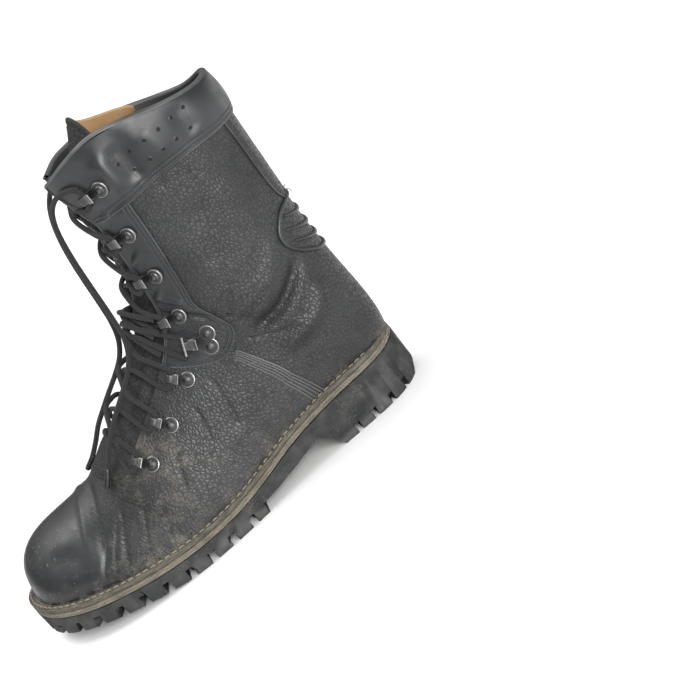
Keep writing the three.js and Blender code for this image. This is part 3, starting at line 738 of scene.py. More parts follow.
# side, depth (negative is a trough), softness, points as (place, angle)
FOLDS = [
    # the deep fold over the ankle, with the ridge it throws up below and above
    (BOTH, -4.6, 4.2, [(12.2, 84), (12.85, 90), (13.6, 99), (14.45, 113), (15.35, 132)]),
    (BOTH, 2.4, 5.5, [(11.9, 92), (12.7, 101), (13.6, 115), (14.7, 133)]),
    (BOTH, 1.6, 6.0, [(13.0, 84), (13.7, 92), (14.5, 102), (15.3, 115), (15.9, 127)]),
    # lesser folds that run out from the strap's corner
    (OUTER, -1.5, 1.8, [(12.7, 78), (13.25, 86), (13.9, 94), (14.5, 101)]),
    (OUTER, -1.1, 1.4, [(12.75, 74), (13.5, 80), (14.3, 86)]),
    (OUTER, -1.0, 1.3, [(12.1, 77), (12.25, 85), (12.6, 93), (13.2, 104)]),
    (INNER, -1.3, 1.8, [(12.6, 79), (13.1, 88), (13.6, 97)]),
    # the throat's corner pulls in below the last shaft hook
    (BOTH, -1.8, 2.2, [(12.55, 40), (12.5, 48), (12.75, 60), (12.8, 70)]),
    (BOTH, 1.2, 2.4, [(13.3, 40), (13.35, 50), (13.35, 60)]),
    # bulges of the facing between its hooks
    (BOTH, 1.3, 5.0, [(15.45, 46), (15.3, 50)]),
    (BOTH, 1.2, 4.6, [(13.55, 44), (13.45, 47)]),
    (BOTH, 1.1, 5.0, [(17.2, 47), (17.1, 52)]),
    (BOTH, -1.0, 2.6, [(17.5, 44), (17.35, 58), (17.5, 70)]),
    # soft dents of the padded collar
    (OUTER, -2.0, 5.5, [(17.85, 82), (18.4, 80), (18.95, 79)]),
    (OUTER, 1.5, 5.5, [(17.75, 71), (18.3, 70), (18.9, 69)]),
    (OUTER, 1.0, 7.0, [(18.1, 100), (18.9, 96)]),
    (OUTER, -1.2, 6.0, [(18.2, 122), (18.9, 119)]),
    (OUTER, -0.8, 3.0, [(17.35, 88), (17.8, 91), (18.1, 96)]),
    (INNER, -1.8, 6.0, [(17.9, 95), (18.9, 92)]),
    (INNER, 1.2, 7.0, [(18.0, 75), (18.9, 73)]),
    # the shaft hangs a little slack
    (BOTH, -1.2, 9.0, [(14.9, 84), (15.9, 92), (17.0, 96)]),
    (BOTH, 1.0, 10.0, [(15.2, 112), (16.3, 116), (17.4, 118)]),
    # the flex of the vamp behind the toe: long soft troughs across it
    (BOTH, -1.5, 3.4, [(6.0, 0), (5.85, 22), (5.55, 44), (5.2, 62), (4.95, 76)]),
    (BOTH, 1.1, 3.0, [(5.55, 0), (5.4, 22), (5.1, 44), (4.8, 60)]),
    (OUTER, -1.1, 1.6, [(6.45, 42), (6.1, 54), (5.75, 66), (5.45, 78), (5.3, 88)]),
    (OUTER, -0.9, 1.3, [(6.15, 46), (5.7, 58), (5.3, 70), (4.95, 84)]),
    (OUTER, -0.8, 1.1, [(5.7, 50), (5.25, 62), (4.85, 74), (4.6, 86)]),
    (OUTER, -0.8, 1.2, [(6.9, 52), (6.6, 62), (6.2, 74), (5.95, 86)]),
    (OUTER, -0.7, 1.1, [(7.3, 60), (7.0, 70), (6.7, 82), (6.5, 92)]),
    (OUTER, 0.9, 4.5, [(5.9, 84), (5.6, 94), (5.5, 104)]),
    (INNER, -1.1, 1.5, [(6.4, 40), (6.0, 54), (5.6, 68), (5.3, 80)]),
    (INNER, -0.9, 1.3, [(5.8, 48), (5.35, 60), (4.95, 74), (4.7, 86)]),
    (INNER, -0.8, 1.2, [(6.9, 52), (6.5, 64), (6.15, 78)]),
    # the toe box: a flat dinge above the knuckle, and the hollow along the welt
    (OUTER, -1.2, 6.5, [(3.6, 42), (4.2, 50), (4.7, 56)]),
    (OUTER, 0.9, 7.5, [(3.7, 72), (4.4, 74), (5.0, 76)]),
    (INNER, 0.8, 7.0, [(3.9, 66), (4.8, 68)]),
    (OUTER, -1.0, 6.0, [(2.9, 14), (3.3, 26)]),
    # wrinkles below the strap and over the instep
    (BOTH, -0.9, 1.5, [(10.5, 62), (10.2, 70), (9.8, 80), (9.5, 90)]),
    (BOTH, -0.8, 1.4, [(9.55, 60), (9.25, 68), (8.9, 78)]),
    (BOTH, 1.0, 6.0, [(9.6, 84), (9.2, 96), (9.0, 108)]),
    (BOTH, -0.9, 1.5, [(8.4, 58), (8.05, 66), (7.7, 76)]),
    # the heel counter swells out below the ankle fold
    (BOTH, 1.2, 12.0, [(12.4, 128), (12.8, 140)]),
]


def to_line(line, points):
    """Distance from each point to a line, and how far along it the nearest point lies."""
    a, b = line[:-1], line[1:]
    d = b - a
    starts = np.concatenate([[0], np.cumsum(np.linalg.norm(d, axis=1))])
    best = np.full(len(points), np.inf)
    along = np.zeros(len(points))
    for k in range(len(a)):
        t = np.clip((points - a[k]) @ d[k] / max(d[k] @ d[k], 1e-9), 0, 1)
        away = np.linalg.norm(points - a[k] - t[:, None] * d[k], axis=1)
        nearer = away < best
        best[nearer] = away[nearer]
        along[nearer] = (starts[k] + t * np.linalg.norm(d[k]))[nearer]
    return best, along / starts[-1]


def fold_lines():
    lines = []
    for side, depth, soft, route in FOLDS:
        for way in ((OUTER, INNER) if side == BOTH else (side,)):
            p = smooth_line(np.array(route, float) * [1, way], 9)
            lines.append((way, depth, soft, skin(p[:, 0], p[:, 1])))
    return lines


FOLD_LINES = fold_lines()


def relief(place, angle):
    """Height of the folds and dents at each point, and how deep in a trough it lies."""
    place, angle = np.broadcast_arrays(place, angle)
    shape = place.shape
    place, angle = place.ravel(), angle.ravel()
    side = (angle + 180) % 360 - 180
    points = skin(place, angle)
    height = np.zeros(len(points))
    trough = np.zeros(len(points))
    for way, depth, soft, line in FOLD_LINES:
        reach = 3.2 * soft
        low, high = line.min(0) - reach, line.max(0) + reach
        near = np.all((points > low) & (points < high), axis=1) & (side * way > -12)
        if not near.any():
            continue
        away, along = to_line(line, points[near])
        fade = smoothstep(along, -0.02, 0.25) * smoothstep(1 - along, -0.02, 0.25)
        bell = np.exp(-((away / soft) ** 2)) * fade
        height[near] += depth * bell
        if depth < 0:
            trough[near] = np.maximum(trough[near], bell * min(1.0, -depth / 1.5))
    return height.reshape(shape), trough.reshape(shape)


print(len(FOLD_LINES), "fold lines")

# %% [markdown]
# ## Leather panels
# A panel is drawn between two edges in pattern coordinates and filled with straight lines
# from one to the other. Rows and columns are then spaced in true millimetres, closer at the
# edges, so that the cut edge can be rounded over and a stitched seam can lie in its groove.
# The masks that steer the leather finish are worked out here too.

# %% Panel tools
SEAM_OFFSETS = (2.3, 5.0)
SKIRT = 0.5


def edge_marks(kind):
    """Distances from an edge, in mm, at which a panel needs a row or column of points."""
    if kind is None:
        return np.array([0.0])
    marks = [0.0, 0.0, 0.1, 0.3, 0.6, 1.0, 1.5]
    for offset in SEAM_OFFSETS[:kind]:
        marks += [offset - 0.4, offset, offset + 0.4, offset + 0.9]
    return np.array(marks)


def edge_height(distance, kind, first):
    """Share of the panel's thickness near an edge, and the depth of its seams in mm."""
    if kind is None:
        return np.ones_like(distance), np.zeros_like(distance)
    round_over = np.sqrt(np.clip(1 - (1 - np.clip(distance, 0, 1)) ** 2, 0, 1))
    round_over = 0.25 + 0.75 * round_over
    groove = np.zeros_like(distance)
    for offset in SEAM_OFFSETS[:kind]:
        groove += 0.38 * np.exp(-(((distance - offset) / 0.5) ** 2))
    return np.where(first, -SKIRT, round_over), groove


def spaced_marks(total, step, kind_a, kind_b):
    """Positions from 0 to total: the edge marks at both ends and even ones between."""
    a, b = edge_marks(kind_a), edge_marks(kind_b)
    limit = 0.46 * total
    a, b = np.minimum(a, limit), np.minimum(b, limit)
    inside = np.linspace(a[-1], total - b[-1], max(3, int((total - a[-1] - b[-1]) / step) + 1))
    return np.concatenate([a[:-1], inside, (total - b[:-1])[::-1]])


def masks_at(place, angle, points, trough, grain):
    """Vertex masks: how pebbled, muddy, scuffed and creased the leather is there."""
    side = (angle + 180) % 360 - 180
    over_welt = points[..., 2] - welt_top(points[..., 0])
    foot = smoothstep(-place, -12.6, -11.0)
    mud = 0.30 * np.exp(-np.clip(over_welt, 0, None) / 4.5)
    spots = ((8.1, -60, 1.2, 20, 0.27), (7.4, -38, 1.0, 14, 0.26), (6.4, -84, 1.2, 26, 0.22),
             (9.6, -100, 2.0, 24, 0.12), (8.0, 60, 1.4, 24, 0.24), (6.4, 90, 1.3, 30, 0.20))
    for at, turn, long, wide, amount in spots:
        mud = mud + amount * np.exp(-((place - at) / long) ** 2 - ((side - turn) / wide) ** 2)
    mud = mud + 0.15 * trough * foot + 0.03 * foot
    toe = smoothstep(-place, -6.3, -4.8)
    heel = foot * smoothstep(np.abs(side), 128, 158) * smoothstep(place, 10.5, 11.5)
    scuff = 0.16 + 0.36 * toe + 0.3 * heel
    flex = smoothstep(place, 4.9, 5.9) * smoothstep(-place, -8.4, -6.6) \
        * smoothstep(np.abs(side), 20, 45)
    ankle = np.exp(-((place - 12.6) / 1.5) ** 2) * smoothstep(-np.abs(side), -125, -90)
    crease = 0.75 * flex + 0.5 * ankle + 0.25 * trough
    polish = 1 - 0.88 * smoothstep(-place, -6.5, -5.2) - 0.45 * heel
    worn_low = 1 - 0.5 * np.exp(-np.clip(over_welt, 0, None) / 9)
    return {"grain": grain * np.clip(polish, 0.06, 1) * worn_low, "mud": mud,
            "scuff": scuff, "crease": np.clip(crease, 0, 1)}


def pattern_pairs(pairs, count=160):
    """Two edges drawn together: rows of (place, angle, place, angle), evenly spaced."""
    scale = np.array([20, 1, 20, 1.0])
    rows = [np.concatenate(pair) * scale for pair in pairs]
    return smooth_line(rows, count) / scale


def row_points(first, second, step, kinds):
    """Pattern coordinates along straight lines between two edges, spaced in mm."""
    f = np.linspace(0, 1, 90)
    place = first[:, :1] + (second[:, :1] - first[:, :1]) * f
    angle = first[:, 1:] + (second[:, 1:] - first[:, 1:]) * f
    line = skin(place, angle)
    along = runs_along(line)
    longest = along[:, -1].max()
    model = spaced_marks(longest, step, *kinds)
    near_a, near_b = len(edge_marks(kinds[0])), len(edge_marks(kinds[1]))
    out = []
    for k in range(len(first)):
        total = along[k, -1]
        a = np.minimum(edge_marks(kinds[0]), 0.46 * total)
        b = np.minimum(edge_marks(kinds[1]), 0.46 * total)
        inside = np.linspace(a[-1], total - b[-1], len(model) - near_a - near_b + 2)
        at = np.concatenate([a[:-1], inside, (total - b[:-1])[::-1]])
        share = np.interp(at, along[k], f)
        out.append((share, at, total - at))
    share, from_a, from_b = (np.stack(v) for v in zip(*out))
    place = first[:, :1] + (second[:, :1] - first[:, :1]) * share
    angle = first[:, 1:] + (second[:, 1:] - first[:, 1:]) * share
    return place, angle, from_a, from_b


THREADS = []
# lines near the cut edges, for pale beads that are part wear and part painted highlight
WORN_AND_HIGHLIGHT_EDGES = []


def panel(name, pairs, thickness, lift, material, grain, step=1.25, edges=(1, 1, None, None),
          form=None):
    """A leather panel; edges are (first, second, start, end), each None or its seams."""
    rows = pattern_pairs(pairs, 400)
    middle = skin((rows[:, 0] + rows[:, 2]) / 2, (rows[:, 1] + rows[:, 3]) / 2)
    run = run_along(middle)
    at = spaced_marks(run[-1], step, edges[2], edges[3])
    rows = np.stack([np.interp(at, run, rows[:, k]) for k in range(4)], 1)
    place, angle, from_a, from_b = row_points(rows[:, :2], rows[:, 2:], step, edges[:2])
    folds, trough = relief(place, angle)
    from_start = np.repeat(at[:, None], place.shape[1], 1)
    share = np.ones_like(place)
    groove = np.zeros_like(place)
    index = np.indices(place.shape)
    last = (place.shape[0] - 1, place.shape[1] - 1)
    sides = ((from_a, edges[0], index[1] == 0), (from_b, edges[1], index[1] == last[1]),
             (from_start, edges[2], index[0] == 0),
             (run[-1] - from_start, edges[3], index[0] == last[0]))
    for distance, kind, outermost in sides:
        part, seam = edge_height(distance, kind, outermost)
        share = np.minimum(share, part)
        groove = np.maximum(groove, seam)
    height = folds + lift + thickness * share - groove
    if form is not None:
        across = from_a / np.maximum(from_a + from_b, 1e-6)
        height = height + form(across, from_start / run[-1]) * (share > 0)
    points = above(place, angle, height)
    for distance, kind, turned in ((from_a, edges[0], False), (from_b[:, ::-1], edges[1], True),
                                   (from_start.T, edges[2], False),
                                   ((run[-1] - from_start[::-1]).T, edges[3], True)):
        grid = points if distance.shape == place.shape else points.transpose(1, 0, 2)
        grid = grid[:, ::-1] if turned else grid
        if kind is not None:
            # a line near the cut edge for a pale bead: worn edge and painted highlight
            WORN_AND_HIGHLIGHT_EDGES.append(np.array([[np.interp(0.35, d, g[:, k]) for k in range(3)]
                                        for d, g in zip(distance, grid)])[2:-2])
        ends = 3 if distance.shape == place.shape else 6
        for offset in SEAM_OFFSETS[:kind or 0]:
            line = np.array([[np.interp(offset, d, g[:, k]) for k in range(3)]
                             for d, g in zip(distance, grid)])[ends:-ends]
            THREADS.append((line, edges.index(kind)))
    uv = np.stack([from_start, from_a], -1).reshape(-1, 2)
    masks = masks_at(place, angle, points, np.maximum(trough, groove), grain)
    # the pattern runs along rows x columns outwards when places rise and angles rise
    sample = (place.shape[0] // 2, place.shape[1] // 2)
    outwards = skin_normal(place[sample], angle[sample])
    across_rows = points[sample[0] + 1, sample[1]] - points[sample]
    across_columns = points[sample[0], sample[1] + 1] - points[sample]
    faces = grid_faces(*place.shape)
    if np.cross(across_rows, across_columns) @ outwards < 0:
        faces = faces[:, ::-1]
    return add_mesh(name, points.reshape(-1, 3), faces, material, uv,
                    masks={k: v.ravel() for k, v in masks.items()})


print("panel tools ready")

# %% [markdown]
# ### Stitches
# A lockstitch shows as a row of short rounded threads that dip into the leather between
# needle holes. Each one is a small capsule, bent down at both ends. A whole row is one joined
# mesh, laid along a line in pattern coordinates.

# %% Stitch tool
def stitch_shape(length, radius):
    """One thread: rings along X, its ends sunk below the leather."""
    f = np.linspace(-1, 1, 5)
    line = np.stack([f * length / 2, 0 * f, radius * (0.75 - 1.9 * f ** 4)], 1)
    return tube(line, radius * np.array([0.6, 0.95, 1, 0.95, 0.6]), 6)[:2]


def stitches_along(line, normals, pitch, length, radius):
    """Joined threads along a 3-D line that lies on the leather."""
    count = max(2, int(length_of(line) / pitch))
    run = run_along(line)
    at = (np.arange(count) + 0.5) * run[-1] / count
    spots = np.stack([np.interp(at, run, line[:, k]) for k in range(3)], 1)
    ups = np.stack([np.interp(at, run, normals[:, k]) for k in range(3)], 1)
    ahead = np.stack([np.interp(at + 0.4, run, line[:, k]) for k in range(3)], 1) \
        - np.stack([np.interp(at - 0.4, run, line[:, k]) for k in range(3)], 1)
    thread, faces = stitch_shape(length, radius)
    parts = []
    for spot, up, x in zip(spots, ups, ahead):
        if np.linalg.norm(x) < 1e-6:
            continue
        x = x / np.linalg.norm(x)
        up = up - x * up.dot(x)
        up /= np.linalg.norm(up)
        parts.append((spot + thread @ np.array([x, np.cross(up, x), up]), faces))
    return parts


def thread_finish(name, colour, dust):
    """Waxed thread, dusty in its twist."""
    material, tree, shader = new_material(name)
    mud = place_group(tree, DUST, Amount=dust, Patch_Size=9.0, Crumb=0.6)
    veil = times(tree, mud.outputs["Mask"], 0.8)
    shade = blend(tree, veil, colour, mud.outputs["Colour"])
    tree.links.new(shade, shader.inputs["Base Color"])
    shader.inputs["Roughness"].default_value = 0.7
    bump(tree, shader, mud.outputs["Height"], 0.0001)
    return material


DARK_THREAD = thread_finish("dark thread", (0.030, 0.031, 0.033, 1), 0.16)
WORN_THREAD = thread_finish("worn thread", (0.085, 0.085, 0.082, 1), 0.25)
WELT_THREAD = thread_finish("welt thread", (0.20, 0.17, 0.12, 1), 0.35)


print("stitch tool ready")

# %% [markdown]
# ## Vamp
# The vamp wraps the toe and the instep down to the welt, splits at the throat, and its rear
# edge lies over the quarter, held by four rows of stitching. It is one sheet, drawn as two
# halves that are welded along the top ridge. Its lower edge is where the form meets the welt,
# which is found by walking round each section.

# %% Where the leather meets the welt, the throat and the quarter
HALF_ROUND = np.linspace(0, 180, 721)
VAMP_LIFT = 0.9
VAMP_END = np.array([(30, 10.4), (38, 10.6), (60, 11.2), (76, 11.6), (90, 11.45), (98, 11.25),
                     (115, 11.05), (140, 10.85), (180, 10.7)])


def welt_angle(place, way):
    """The angle at which each section goes down through the top of the welt."""
    place = np.atleast_1d(place)
    points = skin(place[:, None], way * HALF_ROUND[None])
    below = points[..., 2] < welt_top(points[..., 0]) - 0.3
    below[:, -1] = True
    hit = below.argmax(1)
    found = HALF_ROUND[hit].astype(float)
    for k in np.nonzero((hit > 0) & (hit < len(HALF_ROUND) - 1))[0]:
        a, b = points[k, hit[k] - 1], points[k, hit[k]]
        gap_a = a[2] - welt_top(a[0]) + 0.3
        gap_b = b[2] - welt_top(b[0]) + 0.3
        found[k] += (HALF_ROUND[1]) * (gap_a / max(gap_a - gap_b, 1e-9) - 1)
    return found


def throat_angle(place):
    """Half the opening of the throat; 0 below its round end."""
    rise = np.clip((np.asarray(place, float) - 6.3) / 0.8, 0, 1)
    return 38 * np.sqrt(1 - (1 - rise) ** 2)


def even_places(low, high, step, *lines):
    """Places from low to high so that none of the given lines takes a longer step."""
    fine = np.linspace(low, high, 1600)
    moves = [np.linalg.norm(np.diff(line(fine), axis=0), axis=1) for line in lines]
    run = np.concatenate([[0], np.cumsum(np.max(moves, axis=0))])
    return np.interp(np.linspace(0, run[-1], int(run[-1] / step) + 2), run, fine)


TOE_START = float(np.interp(0, -(welt_top(skin(np.linspace(0.5, 2, 400), 0)[:, 0]) - 0.3
                                 - skin(np.linspace(0.5, 2, 400), 0)[:, 2]),
                            np.linspace(0.5, 2, 400))) + 0.004
print("the toe meets the welt at place", round(TOE_START, 3))


def vamp_half(way, step, columns):
    """Pattern coordinates of one half: rows from the toe back, columns from ridge to welt."""
    starts = even_places(
        TOE_START, 11.3, step,
        lambda w: skin(w, way * throat_angle(w)),
        lambda w: 0.8 * skin(w, way * welt_angle(w, way)),
    )
    share = (starts - TOE_START) / (11.3 - TOE_START)
    f = np.linspace(0, 1, 140)
    place = np.repeat(starts[:, None], len(f), 1)
    for _ in range(8):
        low = np.interp(place, np.linspace(0, 13, 1300), welt_angle(np.linspace(0, 13, 1300), way))
        start = throat_angle(place)
        angle = start + (low - start) * f
        end = np.interp(angle, VAMP_END[:, 0], VAMP_END[:, 1])
        place = TOE_START + share[:, None] * (end - TOE_START)
    line = skin(place, way * angle)
    run = runs_along(line)
    at = np.linspace(0, 1, columns)
    rows = [np.stack([np.interp(at * r[-1], r, p), np.interp(at * r[-1], r, a), at * r[-1]])
            for r, p, a in zip(run, place, angle)]
    return np.stack(rows).transpose(1, 0, 2)


def welded_halves(name, halves):
    """One sheet of pebbled leather from the grids of its two sides."""
    parts = []
    for way, points, _, _ in halves:
        faces = grid_faces(*points.shape[:2])
        parts.append((points.reshape(-1, 3), faces if way > 0 else faces[:, ::-1]))
    points, faces = joined(parts)
    uv = np.vstack([half[2].reshape(-1, 2) for half in halves])
    masks = {k: np.concatenate([half[3][k].ravel() for half in halves]) for k in halves[0][3]}
    return add_mesh(name, points, faces, SHELL_LEATHER, uv, weld=0.02, masks=masks)


def make_vamp():
    halves = []
    for way in (OUTER, INNER):
        place, angle, girth = vamp_half(way, 1.25, 84)
        folds, trough = relief(place, way * angle)
        back = VAMP_LIFT * smoothstep(place, 3.5, 8)
        near_end = np.interp(angle, VAMP_END[:, 0], VAMP_END[:, 1]) - place
        rim = np.clip(near_end / 0.045, 0, 1)
        height = folds + np.where(rim < 1, back * (0.3 + 0.7 * np.sqrt(1 - (1 - rim) ** 2)), back)
        height[-1] -= 0.9
        points = above(place, way * angle, height)
        along = run_along(points[:, 20])
        uv = np.stack([np.repeat(along[:, None], points.shape[1], 1), way * girth], -1)
        grain = 0.75 + 0.25 * smoothstep(place, 6, 9)
        masks = masks_at(place, way * angle, points, trough, grain)
        halves.append((way, points, uv, masks))
    return welded_halves("vamp", halves)


settle(make_vamp(), "upper_leather", "upper")

# %% [markdown]
# ## Quarters and shaft
# The quarters start under the vamp's rear edge, wrap the heel and rise as the shaft to the
# collar. The sheet is drawn row by row: each row runs from the front, under the facing, to the
# welt round the heel or, higher up, to the back seam where both halves are welded.

# %% Quarters and shaft
QUARTER_FRONT = np.array([(10.72, 128), (10.9, 112), (11.1, 96), (11.25, 86), (11.4, 72),
                          (11.8, 60), (12.6, 41), (19, 41)])


def quarter_half(way, step, columns, top=18.35, front=QUARTER_FRONT):
    def low(w):
        return welt_angle(w, way)

    def start(w):
        return np.interp(w, front[:, 0], front[:, 1])

    places = even_places(
        front[0, 0], top, step,
        lambda w: 0.7 * skin(w, way * start(w)),
        lambda w: 0.8 * skin(w, way * low(w)),
        lambda w: skin(w, way * 178.0),
    )
    f = np.linspace(0, 1, 160)
    a, b = start(places)[:, None], low(places)[:, None]
    angle = a + (b - a) * f
    place = np.repeat(places[:, None], len(f), 1)
    line = skin(place, way * angle)
    run = runs_along(line)
    at = np.linspace(0, 1, columns)
    angle = np.stack([np.interp(at * r[-1], r, t) for r, t in zip(run, angle)])
    from_back = run[:, -1:] * (1 - at)
    return np.repeat(places[:, None], columns, 1), angle, from_back


def make_quarters():
    halves = []
    for way in (OUTER, INNER):
        place, angle, from_back = quarter_half(way, 1.25, 96)
        folds, trough = relief(place, way * angle)
        points = above(place, way * angle, folds)
        up = run_along(points[:, -30])
        uv = np.stack([np.repeat(up[:, None], points.shape[1], 1), -way * from_back], -1)
        masks = masks_at(place, way * angle, points, trough, np.ones_like(place))
        halves.append((way, points, uv, masks))
    return welded_halves("quarters_and_shaft", halves)


settle(make_quarters(), "upper_leather")

# %% [markdown]
# ## Facings, collar band and backstay
# Smooth leather is sewn over the pebbled shell where the hooks pull: a facing down each side
# of the throat that widens into a strap panel at the ankle. The collar band is padded, so it
# swells between its seams. A backstay covers the seam at the back, and its stitching ends
# above the flex joint of the heel.

# %% Facings and collar band
THROAT_EDGE = 38.6


def throat_closing(place):
    return THROAT_EDGE - 17 * smoothstep(place, 17.4, 18.6)


def top_place(angle):
    """The place at which the collar's top edge crosses an angle."""
    angle = np.atleast_1d(np.asarray(angle, float))
    w = np.linspace(17, 19.9, 600)
    p = skin(w[None], angle[:, None])
    sunk = 5.5 * smoothstep(angle, 35, 75) * smoothstep(-angle, -178, -130)
    over = p[..., 2] - collar_top(p[..., 0]) + sunk[:, None]
    return np.array([np.interp(0, row, w) for row in over])


def facing(way):
    pairs = [
        ((10.15, 38.6), (10.2, 44)), ((10.4, 38.6), (10.6, 57)), ((10.9, 38.6), (11.15, 69)),
        ((11.6, 38.6), (11.9, 74)), ((12.3, 38.6), (12.55, 75.5)), ((12.75, 38.6), (12.95, 69)),
        ((13.1, 38.6), (13.3, 63.5)), ((14.0, 38.6), (14.1, 64)), ((14.8, 38.6), (14.8, 65)),
        ((16.3, 38.6), (16.3, 67)), ((17.7, 37.6), (17.8, 69)),
    ]
    pairs = [((a, way * b), (c, way * d)) for (a, b), (c, d) in pairs]
    return settle(panel(f"facing_{SIDES[way]}", pairs, 1.5, 0.1, SMOOTH_LEATHER, 0.12,
                        edges=(1, 2, 1, None)), "upper_leather")


COLLAR_SEAM = np.array([(36, 16.85), (69, 17.4), (90, 17.75), (112, 17.95), (140, 18.05),
                        (165, 18.1), (180, 18.1)])
COLLAR_PUFF = ((0.27, 0.035, 1.8), (0.37, 0.035, -2.8), (0.50, 0.06, 0.5), (0.62, 0.04, -1.1),
               (0.75, 0.06, 0.6), (0.88, 0.05, -0.8))


def collar_form(across, along):
    puff = 2.7 * np.sin(np.pi * np.clip(across, 0, 1) ** 0.85) ** 0.75
    puff = puff * (0.08 + 0.92 * smoothstep(along, 0.17, 0.27))
    for at, wide, amount in COLLAR_PUFF:
        puff = puff + amount * np.exp(-((along - at) / wide) ** 2) \
            * np.sin(np.pi * np.clip(across, 0, 1))
    return puff


def collar(way):
    lows = np.array([40, 52, 69, 90, 112, 140, 165, 180.0])
    highs = np.array([20, 42, 66, 90, 112, 140, 165, 180.0])
    seam_at = np.interp(lows, COLLAR_SEAM[:, 0], COLLAR_SEAM[:, 1])
    tops = top_place(highs * way)
    lows[0] = throat_closing(seam_at[0])
    pairs = [((a, way * b), (c, way * d)) for a, b, c, d in zip(seam_at, lows, tops, highs)]
    return settle(panel(f"collar_band_{SIDES[way]}", pairs, 1.6, 0.2, SMOOTH_LEATHER, 0.16, step=1.4,
                        edges=(2, None, 1, None), form=collar_form), "upper_leather")


def backstay(way):
    pairs = [((w, way * a), (w, way * 180.0)) for w, a in
             ((16.42, 160), (16.6, 152), (17.0, 149), (17.6, 148), (18.0, 147), (18.3, 147))]
    return settle(panel(f"backstay_{SIDES[way]}", pairs, 0.9, 0.05, SHELL_LEATHER, 0.7,
                        edges=(2, None, 1, None)), "upper_leather")


for way in (OUTER, INNER):
    facing(way)
    collar(way)
    backstay(way)

# %% [markdown]
# ### Thread rows, punched holes and the flex joint
# The panels have told where their seams lie. The vamp's rear edge has four rows of its own.
# The collar breathes through two rows of punched holes, each a raised rim round a black disc
# of painted shade. The flex joint is an oval of soft leather with piping round it and three
# ribs, which fold when the ankle bends.

# %% Threads on the upper
def normals_of(line):
    """Outward directions for a line near the surface, away from the boot's middle line."""
    middle = np.stack([np.interp(line[:, 2], [20, 130, 300], [20, 95, 97]), 0 * line[:, 0],
                       np.minimum(line[:, 2], 40 + 0 * line[:, 2])], 1)
    high = smoothstep(line[:, 2], 60, 130)[:, None]
    middle = middle * (1 - high) + high * np.stack(
        [95 + 0 * line[:, 0], 0 * line[:, 0], line[:, 2]], 1)
    low = smoothstep(-line[:, 0], 0, 40)[:, None] * (1 - high)
    middle = middle * (1 - low) + low * np.stack(
        [line[:, 0], 0 * line[:, 0], 25 + 0 * line[:, 0]], 1)
    way = line - middle
    return way / np.linalg.norm(way, axis=1)[:, None]


upper_threads = []
for line, _ in THREADS:
    upper_threads += stitches_along(line, normals_of(line), 2.5, 2.1, 0.34)
vamp_rows, vamp_beads = [], []
for way in (OUTER, INNER):
    for offset in (0.01, 0.09, 0.17, 0.26, 0.34):
        angle = np.linspace(74, 152, 90)
        place = np.interp(angle, VAMP_END[:, 0], VAMP_END[:, 1]) - offset
        folds, _ = relief(place, way * angle)
        if offset < 0.05:
            line = above(place, way * angle, folds + VAMP_LIFT - 0.15)
            vamp_beads.append(tube(line, 0.75, 8)[:2])
            continue
        line = above(place, way * angle, folds + VAMP_LIFT + 0.1)
        normals = skin_normal(place, way * angle)
        vamp_beads.append(tube(line - normals * 0.55, 0.72, 8)[:2])
        vamp_rows += stitches_along(line, normals, 2.5, 2.0, 0.42)
points, faces = joined(upper_threads)
settle(add_mesh("upper_threads", points, faces, DARK_THREAD, weld=0), "upper_leather")
points, faces = joined(vamp_rows)
settle(add_mesh("vamp_threads", points, faces, WORN_THREAD, weld=0), "upper_leather")
# pale beads along the cut edges: worn grey leather and a painted highlight in one
points, faces = joined(vamp_beads + [tube(line, 0.4, 6)[:2] for line in WORN_AND_HIGHLIGHT_EDGES])
settle(add_mesh("worn_and_highlight_edges", points, faces, EDGE_WEAR_AND_HIGHLIGHT, weld=0), "upper_leather")

# %% Punched holes and the flex joint
# painted shade: a black disc stands for the shadow down inside each punched hole
HOLE_SHADE, _, shader = new_material("painted shade inside a hole")
shader.inputs["Base Color"].default_value = (0.004, 0.004, 0.004, 1)
shader.inputs["Roughness"].default_value = 0.9
HOLES = [(18.42, 78), (18.56, 87), (18.62, 95), (18.66, 104), (18.7, 114), (18.74, 124),
         (18.12, 83), (18.2, 92), (18.26, 100), (18.3, 109), (18.34, 120)]


def spot_frame(place, angle):
    normal = skin_normal(place, angle)
    up = skin(place + 0.01, angle) - skin(place - 0.01, angle)
    up -= normal * up.dot(normal)
    up /= np.linalg.norm(up)
    return np.array([up, np.cross(normal, up), normal])


